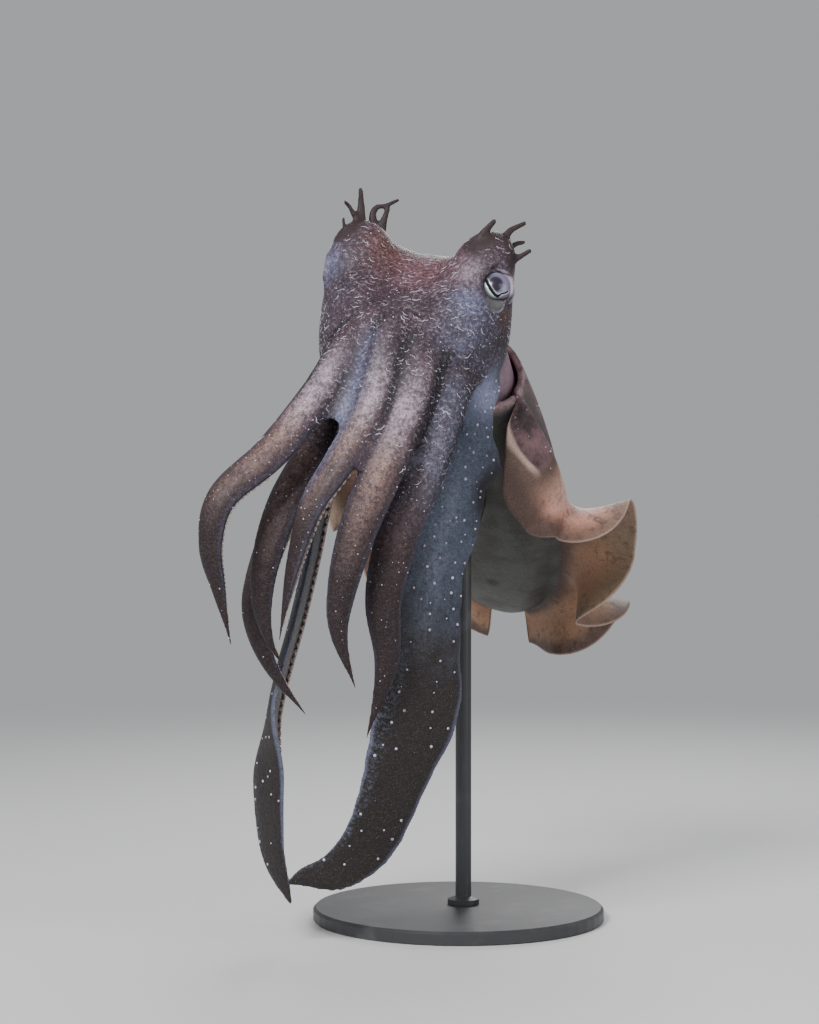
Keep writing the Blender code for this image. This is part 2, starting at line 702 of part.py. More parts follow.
def blend_lumps(name, lumps):
    """Joins lumps into one soft skin: voxels, smoothing, then fewer faces."""
    work = bmesh.new()
    for lump in lumps:
        work.from_mesh(lump.data)
        bpy.data.objects.remove(lump, do_unlink=True)
    flesh = link_mesh(name, work)
    remesh = flesh.modifiers.new("blend", "REMESH")
    remesh.mode = "VOXEL"
    remesh.voxel_size = FLESH_VOXEL
    smooth = flesh.modifiers.new("smooth", "SMOOTH")
    smooth.factor = 0.5
    smooth.iterations = 9
    settle(flesh)
    fewer = flesh.modifiers.new("fewer", "DECIMATE")
    fewer.ratio = min(1.0, FLESH_FACES / (2 * len(flesh.data.polygons)))
    settle(flesh)
    keep_largest(flesh)
    return flesh


def half_space(edge, ahead):
    """A large block across the head's forward axis, ahead of the edge or behind it."""
    work = bmesh.new()
    bmesh.ops.create_cube(work, size=1.0)
    middle = edge + 0.5 if ahead else edge - 0.5
    work.transform(head_frame @ Matrix.Translation((middle, 0, 0)))
    return link_mesh("block", work)


# Skin papillae over each eye: root, middle, tip, and the breadths at root and tip

PAPILLAE = {
    1: [((0.015, -0.110, 0.496), (0.019, -0.112, 0.508), (0.024, -0.113, 0.516), 0.0085, 0.0024),
        ((0.030, -0.105, 0.492), (0.035, -0.105, 0.507), (0.046, -0.103, 0.514), 0.0055, 0.0020),
        ((0.030, -0.099, 0.490), (0.039, -0.097, 0.499), (0.046, -0.095, 0.501), 0.0050, 0.0018),
        ((0.030, -0.111, 0.483), (0.041, -0.111, 0.490), (0.049, -0.111, 0.494), 0.0050, 0.0018)],
    -1: [((-0.072, -0.067, 0.512), (-0.072, -0.067, 0.530), (-0.0725, -0.068, 0.545),
          0.0080, 0.0022),
         ((-0.075, -0.074, 0.513), (-0.080, -0.077, 0.527), (-0.085, -0.079, 0.534),
          0.0050, 0.0016),
         ((-0.083, -0.077, 0.506), (-0.0855, -0.079, 0.516), (-0.085, -0.080, 0.5215),
          0.0045, 0.0016),
         ((-0.061, -0.061, 0.505), (-0.057, -0.058, 0.527), (-0.044, -0.056, 0.536),
          0.0090, 0.0022)],
}


def make_papilla(root, middle, tip, root_breadth, tip_breadth):
    count = 5
    line, _ = smooth_line([root, middle, tip], count)
    rings = []
    across = Vector((1, 0, 0))
    for n, place in enumerate(line):
        tangent = (line[min(n + 1, count - 1)] - line[max(n - 1, 0)]).normalized()
        across = (across - tangent * across.dot(tangent)).normalized()
        half = mix(root_breadth, tip_breadth, (n / (count - 1)) ** 0.6) / 2
        rings.append(ring_about(place, across, tangent.cross(across), half, half, 5))
    return loft("papilla", rings)


def make_head(mantle):
    """The head, the crown and the two eyes."""
    head = blend_lumps("head", head_lumps())
    for arm in ARMS.values():
        _, length = arm_rows(arm)
        reach = CROWN_REACH / length
        cut(head, arm_solid("clearance", arm, reach, reach + 0.2, grow=0.004))
    keep_largest(head)
    crown = bpy.data.objects.new("arm_crown", head.data.copy())
    bpy.context.scene.collection.objects.link(crown)
    cut(head, half_space(CROWN_CUT, True))
    cut(crown, half_space(CROWN_CUT + GAP, False))
    eyes = {}
    for side, name in ((1, "eye_left"), (-1, "eye_right")):
        eyes[name] = ball(name, head_frame, eye_place(side), (EYE_RADIUS,) * 3, fineness=2)
        cut(head, swollen(eyes[name], GAP))
        cut(head, make_opening(side))
    keep_largest(head)
    join_all(head, [make_papilla(*shape) for side in (1, -1) for shape in PAPILLAE[side]])
    clear_of(head, mantle)
    keep_largest(crown)
    return {"head": head, "arm_crown": crown, **eyes}


# The mouth's ring of lips between the arms' roots, and the funnel under the neck

MOUTH_PLACE = (0.086, 0.0, -0.022)
MOUTH_PROFILE = [(0.009, -0.010), (0.0145, -0.004), (0.0155, 0.003), (0.012, 0.008),
                 (0.0075, 0.008), (0.0045, 0.002)]
# The funnel's rings from the collar to its mouth, then back inside: place, half width, half depth
FUNNEL = [((-0.0145, -0.0550, 0.3880), 0.0230, 0.0080), ((-0.0175, -0.0640, 0.3790), 0.0235, 0.0110),
          ((-0.0205, -0.0740, 0.3665), 0.0190, 0.0120), ((-0.0230, -0.0830, 0.3530), 0.0140, 0.0110),
          ((-0.0245, -0.0900, 0.3410), 0.0115, 0.0095), ((-0.0243, -0.0893, 0.3422), 0.0090, 0.0070),
          ((-0.0230, -0.0830, 0.3530), 0.0080, 0.0060)]


def make_mouth():
    forward = head_frame.to_3x3() @ Vector((1, 0, 0))
    left = head_frame.to_3x3() @ Vector((0, 1, 0))
    up = head_frame.to_3x3() @ Vector((0, 0, 1))
    centre = head_frame @ Vector(MOUTH_PLACE)
    rings = [ring_about(centre + forward * ahead, left, up, radius, radius, 14)
             for radius, ahead in MOUTH_PROFILE]
    return loft("mouth", rings)


def make_funnel():
    left = mantle_frame.to_3x3() @ Vector((0, 1, 0))
    places = [Vector(place) for place, _, _ in FUNNEL]
    along = (places[4] - places[0]).normalized()
    deep = along.cross(left).normalized()
    rings = [ring_about(Vector(place), left, deep, wide, thick, 16)
             for place, wide, thick in FUNNEL]
    return loft("funnel", rings)


# The stand: a round base and one rod with a flared cup under the mantle

BASE_RADIUS = 0.110
BASE_THICKNESS = 0.010
BASE_BEVEL = 0.002
ROD_RADIUS = 0.006
CUP_RADIUS = 0.017
ROD_PLACE = (0.004, 0.006)
CUP_BOTTOM, CUP_TOP = 0.285, 0.345


def make_base():
    return turned("stand_base", [
        (BASE_RADIUS - BASE_BEVEL / 2, 0.0),
        (BASE_RADIUS, BASE_BEVEL / 2),
        (BASE_RADIUS, BASE_THICKNESS - BASE_BEVEL),
        (BASE_RADIUS - BASE_BEVEL, BASE_THICKNESS),
    ], 56)


def make_rod(mantle):
    rod = turned("stand_rod", [
        (ROD_RADIUS * 2, BASE_THICKNESS + GAP),
        (ROD_RADIUS * 2, BASE_THICKNESS + 0.004),
        (ROD_RADIUS, BASE_THICKNESS + 0.006),
        (ROD_RADIUS, CUP_BOTTOM),
        (CUP_RADIUS * 0.75, CUP_BOTTOM + 0.014),
        (CUP_RADIUS, CUP_BOTTOM + 0.028),
        (CUP_RADIUS, CUP_TOP),
    ], 20)
    rod.data.transform(Matrix.Translation((*ROD_PLACE, 0)))
    return clear_of(rod, mantle)


clear_scene()
model = bpy.data.collections.new("giant_cuttlefish")
bpy.context.scene.collection.children.link(model)

mantle = make_mantle()
finish_part(mantle, model, "mantle_skin")
body = make_head(mantle)
for eye in ("eye_left", "eye_right"):
    finish_part(body[eye], model, "eye")
for flesh in ("head", "arm_crown"):
    finish_part(body[flesh], model, "skin")
for arm in make_arms().values():
    finish_part(arm, model, "skin")
for side_name, side in (("left", 1), ("right", -1)):
    for part, (first, last) in FIN_LENGTHS.items():
        fin = make_fin(f"fin_{side_name}_{part}", side, FIN_WAVES[side_name], first, last)
        finish_part(clear_of(fin, mantle), model, "fin_skin")
finish_part(clear_of(make_mouth(), body["arm_crown"]), model, "mouth_skin")
finish_part(clear_of(make_funnel(), body["head"], body["arm_crown"], mantle), model, "skin")
finish_part(make_base(), model, "stand_paint")
finish_part(make_rod(mantle), model, "stand_paint")
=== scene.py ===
import math
import random

import bmesh
import bpy
import numpy as np
from mathutils import Matrix, Vector, noise
from mathutils.bvhtree import BVHTree
from mathutils.kdtree import KDTree


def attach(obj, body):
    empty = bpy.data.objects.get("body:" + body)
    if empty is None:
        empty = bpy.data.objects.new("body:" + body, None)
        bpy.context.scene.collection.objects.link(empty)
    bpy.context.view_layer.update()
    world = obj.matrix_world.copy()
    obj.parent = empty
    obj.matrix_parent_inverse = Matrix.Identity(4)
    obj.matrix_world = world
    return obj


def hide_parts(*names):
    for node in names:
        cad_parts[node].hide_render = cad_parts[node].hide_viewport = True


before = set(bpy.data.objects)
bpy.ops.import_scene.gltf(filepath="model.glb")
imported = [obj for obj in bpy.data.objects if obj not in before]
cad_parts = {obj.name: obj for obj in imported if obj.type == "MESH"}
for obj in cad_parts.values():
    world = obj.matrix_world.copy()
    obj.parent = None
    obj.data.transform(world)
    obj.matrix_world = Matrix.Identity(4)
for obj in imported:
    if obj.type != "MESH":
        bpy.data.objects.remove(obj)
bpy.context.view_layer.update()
body = "root"
scene = bpy.context.scene


# The stand. A museum holds a swimming animal up on a plain turned steel disc and one rod, whose
# flared cup takes the belly. Both are powder-coated in graphite, a little pebbled and satin.

GRAPHITE = (0.030, 0.031, 0.034)
GRAPHITE_WORN = (0.060, 0.060, 0.064)
PEBBLE_SCALE = 1400.0


class Number:
    """A number that varies over a surface. Sums on it in Python become Math nodes."""

    def __init__(self, finish, socket):
        self.finish = finish
        self.socket = socket

    def sum(self, operation, *numbers):
        return self.finish.node("ShaderNodeMath", {"operation": operation}, numbers)

    def __add__(self, other):
        return self.sum("ADD", self, other)

    def __sub__(self, other):
        return self.sum("SUBTRACT", self, other)

    def __rsub__(self, other):
        return self.sum("SUBTRACT", other, self)

    def __mul__(self, other):
        return self.sum("MULTIPLY", self, other)

    def __truediv__(self, other):
        return self.sum("DIVIDE", self, other)

    def __pow__(self, other):
        return self.sum("POWER", self, other)

    def sine(self):
        return self.sum("SINE", self)

    __radd__ = __add__
    __rmul__ = __mul__


class Finish:
    """A material in the making."""

    def __init__(self, name, **settings):
        self.material = bpy.data.materials.new(name)
        self.material.use_nodes = True
        self.tree = self.material.node_tree
        self.shader = self.tree.nodes["Principled BSDF"]
        self.set(**settings)

    def put(self, socket, value):
        if isinstance(value, Number):
            self.tree.links.new(value.socket, socket)
        elif socket.type == "RGBA":
            socket.default_value = (*value, 1.0)
        else:
            socket.default_value = value

    def node(self, kind, settings=None, inputs=(), output=0):
        """Adds a node: first its settings, then the values or links of its sockets."""
        made = self.tree.nodes.new(kind)
        for key, value in (settings or {}).items():
            setattr(made, key, value)
        for key, value in inputs.items() if isinstance(inputs, dict) else enumerate(inputs):
            self.put(made.inputs[key], value)
        return Number(self, made.outputs[output])

    def set(self, **settings):
        """Sets the shader's sockets, with _ for each space in a socket's name."""
        for key, value in settings.items():
            self.put(self.shader.inputs[key.replace("_", " ")], value)

    def place(self):
        return self.node("ShaderNodeTexCoord", output="Object")

    def read(self, name):
        return self.node("ShaderNodeAttribute", {"attribute_name": name}, output="Fac")

    def noise(self, scale, detail=2.0, rough=0.5, warp=0.0):
        return self.node("ShaderNodeTexNoise", {}, {"Vector": self.place(), "Scale": scale, "Detail": detail,
                                                    "Roughness": rough, "Distortion": warp})

    def step(self, number, low, high):
        """0 where the number is below low and 1 above high, smooth between."""
        return self.node("ShaderNodeMapRange", {"interpolation_type": "SMOOTHSTEP"},
                         {"Value": number, "From Min": low, "From Max": high})

    def blend(self, share, first, second):
        return self.node("ShaderNodeMix", {"data_type": "RGBA"}, {0: share, 6: first, 7: second}, output=2)

    def bump(self, height, distance, strength=1.0):
        self.set(Normal=self.node("ShaderNodeBump", {}, {"Strength": strength, "Distance": distance,
                                                         "Height": height}))


stand_paint = Finish("graphite_powder_coat", Metallic=0.0, Roughness=0.42)
pebble = stand_paint.noise(PEBBLE_SCALE, 2.0)
wear = stand_paint.step(stand_paint.noise(38.0, 4.0, 0.6), 0.50, 0.75)
stand_paint.set(Base_Color=stand_paint.blend(wear, GRAPHITE, GRAPHITE_WORN))
stand_paint.set(Roughness=0.36 + pebble * 0.16)
stand_paint.bump(pebble, 0.0002, 0.4)
for node in ("stand_base", "stand_rod"):
    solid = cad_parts[node]
    solid.data.materials.clear()
    solid.data.materials.append(stand_paint.material)


# The mantle and its fins. One soft sac sheathes the body, with a free collar round the neck, and a
# thin frilled fin runs along each side of it. It is one skin, so the fins have no seam at their roots.

MANTLE_LENGTH = 0.288
MANTLE_HALF_WIDTH = 0.069
MANTLE_BACK = 0.044
MANTLE_BELLY = 0.038
COLLAR_CENTRE = (-0.010, -0.035, 0.410)
MANTLE_YAW, MANTLE_PITCH, MANTLE_ROLL = -14.8, -38.7, -12.0
WIDEST_STATION = 0.35
COLLAR_NARROWING = 0.009
COLLAR_LOBE = 0.016
COLLAR_WALL = 0.0055
COLLAR_DEPTH = 0.024
FIN_WIDTH = 0.064
FIN_START, FIN_END = 0.035, 0.975
FIN_ROOT_ANGLE = math.radians(-12)
FIN_ROOT_THICKNESS = 0.0080
FIN_EDGE_THICKNESS = 0.0011
FIN_FAN = math.radians(98)
FIN_FILLET = math.radians(7)
# Each fin's waves, as its angle to the mantle's broad plane in degrees at stations along its root
FIN_WAVES = {
    "left": [(0.035, (-128,)), (0.16, (-126,)), (0.27, (-112,)), (0.365, (-85,)), (0.475, (34,)),
             (0.60, (0,)), (0.72, (-76,)), (0.80, (18,)), (0.88, (-62,)), (0.975, (-25,))],
    "right": [(0.035, (-60,)), (0.13, (-18,)), (0.22, (-4,)), (0.32, (-52,)), (0.40, (-18,)),
              (0.47, (8,)), (0.56, (-48,)), (0.64, (-20,)), (0.72, (5,)), (0.81, (-55,)),
              (0.90, (-15,)), (0.975, (-30,))],
}
MANTLE_ROWS = 250
BACK_COLUMNS, BELLY_COLUMNS = 70, 60
LEFT_FIN_SHARES = [(0.10, (1.0,)), (0.22, (1.17,)), (0.29, (1.14,)), (0.37, (0.88,)), (0.43, (0.90,)), (0.50, (1.0,))]
FIN_COLUMNS = 26
SMALLEST_FIN = 0.0004


def mix(a, b, share):
    return a + (b - a) * share


def ease(low, high, value):
    """0 below low, 1 above high, smooth between."""
    share = max(0.0, min(1.0, (value - low) / (high - low)))
    return share * share * (3 - 2 * share)


def by_station(stations, t):
    """Reads a list of (station, values) pairs at t, with the values blended smoothly."""
    for (low, start), (high, end) in zip(stations, stations[1:]):
        if t <= high:
            share = ease(low, high, t)
            return tuple(mix(a, b, share) for a, b in zip(start, end))
    return stations[-1][1]


def animal_frame(origin, yaw, pitch, roll):
    """X points to the animal's front, Y to its left and Z to its back. Unturned, it faces the viewer."""
    facing = Matrix(((0, 1, 0, 0), (-1, 0, 0, 0), (0, 0, 1, 0), (0, 0, 0, 1)))
    turn = Matrix.Rotation(math.radians(yaw), 4, "Z")
    nod = Matrix.Rotation(math.radians(pitch), 4, "Y")
    lean = Matrix.Rotation(math.radians(roll), 4, "X")
    return Matrix.Translation(origin) @ turn @ facing @ nod @ lean


mantle_frame = animal_frame(COLLAR_CENTRE, MANTLE_YAW, MANTLE_PITCH, MANTLE_ROLL)


def mantle_taper(t):
    """The mantle's breadth at station t, 0 at the collar and 1 at the tail, as a share of the greatest."""
    if t < WIDEST_STATION:
        return 1 - COLLAR_NARROWING / MANTLE_HALF_WIDTH * (1 - t / WIDEST_STATION) ** 2
    return math.sqrt(max(0.0, 1 - ((t - WIDEST_STATION) / (1 - WIDEST_STATION)) ** 2.4))


def mantle_point(t, angle, inward=0.0):
    """A point of the mantle's wall: angle 0 is its left edge and a quarter turn is its back."""
    breadth = MANTLE_HALF_WIDTH * mantle_taper(t) - inward
    side, rise = math.cos(angle), math.sin(angle)
    depth = (MANTLE_BACK if rise > 0 else MANTLE_BELLY) * mantle_taper(t) ** 0.9 - inward
    lobe = COLLAR_LOBE * max(0.0, rise) ** 1.5 * (1 - ease(0, 0.25, t))
    flat = math.copysign(abs(rise) ** 0.9, rise)
    return mantle_frame @ Vector((-MANTLE_LENGTH * t + lobe, breadth * side, depth * flat))


def fin_width(t, side=0):
    front = ease(FIN_START - 0.05, FIN_START + 0.14, t)
    width = FIN_WIDTH * (0.30 + 0.70 * front) * (1 - 0.42 * ease(0.78, 1.0, t))
    if side > 0:
        width *= by_station(LEFT_FIN_SHARES, t)[0]
    ends = ease(FIN_START - 0.024, FIN_START + 0.008, t) * (1 - ease(FIN_END - 0.006, FIN_END + 0.016, t))
    return max(SMALLEST_FIN, width * ends)


def fin_ray(side, t, waves):
    """Points from the root to the edge of the fin's middle sheet."""
    root = mantle_point(t, FIN_ROOT_ANGLE if side > 0 else math.pi - FIN_ROOT_ANGLE)
    turn = mantle_frame.to_3x3()
    fan = FIN_FAN * ease(0.68, 1.0, t)
    out = turn @ Vector((-math.sin(fan), side * math.cos(fan), 0))
    up = turn @ Vector((0, 0, 1))
    droop_at_edge = math.radians(by_station(waves, t)[0])
    place = root.copy()
    points = [root]
    for j in range(FIN_COLUMNS):
        droop = droop_at_edge * ease(-0.1, 0.62, (j + 0.5) / FIN_COLUMNS)
        place = place + (out * math.cos(droop) + up * math.sin(droop)) * fin_width(t, side) / FIN_COLUMNS
        points.append(place)
    return points


def fin_faces(side, stations, waves):
    """The upper and lower face of a fin as rows of points, thick at the root and thin at the edge."""
    sheet = np.array([[tuple(p) for p in fin_ray(side, t, waves)] for t in stations])
    along = np.gradient(sheet, axis=0)
    across = np.gradient(sheet, axis=1)
    lift = np.cross(across, along) * side
    lift /= np.maximum(np.linalg.norm(lift, axis=2, keepdims=True), 1e-12)
    span = np.linspace(0, 1, FIN_COLUMNS + 1)
    half = mix(FIN_EDGE_THICKNESS, FIN_ROOT_THICKNESS, (1 - span) ** 2.4) / 2
    widths = np.array([fin_width(t) for t in stations])
    half = half[None, :] * np.minimum(1.0, widths / 0.012)[:, None]
    return sheet + lift * half[:, :, None], sheet - lift * half[:, :, None]


def skin_object(name, points, faces):
    mesh = bpy.data.meshes.new(name)
    mesh.from_pydata(points.tolist() if hasattr(points, "tolist") else points, [], faces)
    mesh.validate()
    obj = bpy.data.objects.new(name, mesh)
    bpy.context.scene.collection.objects.link(obj)
    return obj


def store(obj, name, values, kind="FLOAT"):
    """Keeps a number, or a vector, for each point of a mesh, for materials and Geometry Nodes to read."""
    layer = obj.data.attributes.new(name, kind, "POINT")
    layer.data.foreach_set("value" if kind == "FLOAT" else "vector", np.asarray(values, float).ravel())


def points_of(mesh):
    flat = np.empty(len(mesh.vertices) * 3)
    mesh.vertices.foreach_get("co", flat)
    return flat.reshape(-1, 3)


def edges_of(mesh):
    flat = np.empty(len(mesh.edges) * 2, dtype=int)
    mesh.edges.foreach_get("vertices", flat)
    return flat.reshape(-1, 2)


def relaxed(points, edges, weight, rounds):
    """Points drawn towards the middle of their neighbours, each by its weight, some rounds over."""
    first, second = edges[:, 0], edges[:, 1]
    count = np.bincount(edges.ravel(), minlength=len(points))[:, None]
    for _ in range(rounds):
        total = np.stack([np.bincount(first, points[second, axis], len(points))
                          + np.bincount(second, points[first, axis], len(points))
                          for axis in range(3)], axis=1)
        points = points + (total / count - points) * (weight[:, None] * 0.5)
    return points


def settle_points(obj, points):
    obj.data.vertices.foreach_set("co", points.ravel())
    obj.data.update()


def face_outwards(obj):
    """Turns every face of a closed mesh outwards and shades it smooth."""
    work = bmesh.new()
    work.from_mesh(obj.data)
    bmesh.ops.recalc_face_normals(work, faces=work.faces)
    if work.calc_volume(signed=True) < 0:
        bmesh.ops.reverse_faces(work, faces=work.faces)
    work.to_mesh(obj.data)
    work.free()
    obj.data.shade_smooth()


def make_mantle_skin():
    stations = [0.9996 * math.sin(math.pi / 2 * r / (MANTLE_ROWS - 1)) for r in range(MANTLE_ROWS)]
    left_up, left_down = fin_faces(1, stations, FIN_WAVES["left"])
    right_up, right_down = fin_faces(-1, stations, FIN_WAVES["right"])
    spans = np.linspace(0, 1, FIN_COLUMNS + 1)[1:]
    root, fillet = FIN_ROOT_ANGLE, FIN_FILLET
    back = np.linspace(root + fillet, math.pi - root - fillet, BACK_COLUMNS)
    belly = np.linspace(math.pi - root + fillet, 2 * math.pi + root - fillet, BELLY_COLUMNS)
    span = np.concatenate([0 * back, spans, spans[::-1], 0 * belly, spans, spans[::-1]])
    rise = np.concatenate([np.sin(back), 0.2 + 0 * spans, -0.2 + 0 * spans, np.sin(belly),
                           -0.2 + 0 * spans, 0.2 + 0 * spans])
    rows = []
    recess = COLLAR_DEPTH / MANTLE_LENGTH
    lips = [(recess, 1.5), (recess * 0.7, 1.3), (recess * 0.4, 1.1), (0.010, 0.95), (0.003, 0.8),
            (-0.0015, 0.5), (0.0, 0.2)]
    for t, inward in lips:
        ring = [mantle_point(max(t, 0.0), a, COLLAR_WALL * inward) for a in back]
        edge_right = mantle_point(max(t, 0.0), math.pi - root, COLLAR_WALL * inward)
        edge_left = mantle_point(max(t, 0.0), root, COLLAR_WALL * inward)
        ring += [edge_right] * (2 * FIN_COLUMNS)
        ring += [mantle_point(max(t, 0.0), a, COLLAR_WALL * inward) for a in belly]
        ring += [edge_left] * (2 * FIN_COLUMNS)
        rows.append(np.array([tuple(p) for p in ring]))
    for r, t in enumerate(stations):
        arc = np.array([tuple(mantle_point(t, a)) for a in back])
        under = np.array([tuple(mantle_point(t, a)) for a in belly])
        rows.append(np.concatenate([arc, right_up[r, 1:], right_down[r, :0:-1], under,
                                    left_down[r, 1:], left_up[r, :0:-1]]))
    columns = len(span)
    points = np.concatenate([*rows, [rows[0].mean(axis=0)], [tuple(mantle_frame @ Vector((-MANTLE_LENGTH, 0, 0)))]])
    faces = []
    for r in range(len(rows) - 1):
        for k in range(columns):
            a, b = r * columns + k, r * columns + (k + 1) % columns
            faces.append((a, b, b + columns, a + columns))
    throat, tail = len(rows) * columns, len(rows) * columns + 1
    last = (len(rows) - 1) * columns
    for k in range(columns):
        faces.append((throat, (k + 1) % columns, k))
        faces.append((tail, last + k, last + (k + 1) % columns))
    skin = skin_object("mantle_skin", points, faces)
    station = np.concatenate([np.zeros(len(lips)), stations])
    store(skin, "station", np.append(np.repeat(station, columns), [0.0, 1.0]))
    store(skin, "span", np.append(np.tile(span, len(rows)), [0.0, 0.0]))
    store(skin, "rise", np.append(np.tile(rise, len(rows)), [0.0, 0.0]))
    inside = np.repeat([max(0.0, inward - 0.4) for _, inward in lips] + [0.0] * len(stations), columns)
    store(skin, "inside", np.append(np.minimum(1.0, inside), [1.0, 0.0]))
    around = np.tile(np.linspace(0, 1, columns), len(rows))
    bake = np.stack([0.02 + 0.96 * np.append(around, [0, 0]),
                     0.02 + 0.96 * np.append(np.repeat(station, columns), [0.0, 1.0]),
                     np.zeros(len(points))], axis=1)
    store(skin, "bake_place", bake, "FLOAT_VECTOR")
    on_back = np.clip(np.tile(rise, len(rows)) / 0.5, 0, 1) * (np.tile(span, len(rows)) == 0)
    stations_of_all = np.repeat(station, columns)
    fold = np.maximum(1.06 - 4.2 * stations_of_all, 0.48) * (stations_of_all < 0.20)
    in_fold = (np.tile(span, len(rows)) < fold) & (np.tile(span, len(rows)) > 0) & (points[:-2, 0] > -0.03)
    on_back = np.maximum(on_back, in_fold) * (stations_of_all > 0.006)
    store(skin, "dot_density", np.append(on_back, [0.0, 0.0]))
    near_root = np.tile(np.convolve(np.abs(np.diff(np.append(span, 0) > 0)).astype(float), np.ones(9), "same"),
                        len(rows))
    weight = np.minimum(1.0, np.append(near_root, [0, 0])) * 0.9
    settle_points(skin, relaxed(points_of(skin.data), edges_of(skin.data), weight, 14))
    work = bmesh.new()
    work.from_mesh(skin.data)
    bmesh.ops.remove_doubles(work, verts=work.verts, dist=0.00002)
    work.to_mesh(skin.data)
    work.free()
    face_outwards(skin)
    return skin


mantle_skin = make_mantle_skin()


# The head, the crown and the eight arms. The flesh of all of them runs together, from the two eye
# turrets over the face into the webs and arms, so they are one skin, built of soft lumps that melt.

HEAD_CENTRE = (-0.027, -0.085, 0.462)
HEAD_YAW, HEAD_PITCH, HEAD_ROLL = -25.0, 40.0, -9.0
WEB_THICKNESS = 0.0070
EYE_RADIUS = 0.0150
EYE_CENTRE = (0.000, 0.0545, 0.012)
# The left eye looks ahead at the viewer and the right eye looks aside
EYE_AXIS = {1: (0.49, 0.46, 0.74), -1: (0.20, 0.97, 0.06)}
OPENING_SPREAD = math.radians(46)
OPENING_TALLNESS = 1.12
LID_THICKNESS = 0.0024
# Soft swellings round the eye, in its own frame as across, up and out along the gaze; then their radii
LID_POUCH = ((-0.0005, -0.0132, 0.0078), (0.0082, 0.0048, 0.0058))
BROWS = [((-0.001, 0.0150, 0.0066), (0.0105, 0.0044, 0.0066)), ((0.0085, 0.0100, 0.0070), (0.0052, 0.0050, 0.0066)),
         ((0.0106, 0.0010, 0.0062), (0.0028, 0.0090, 0.0056))]
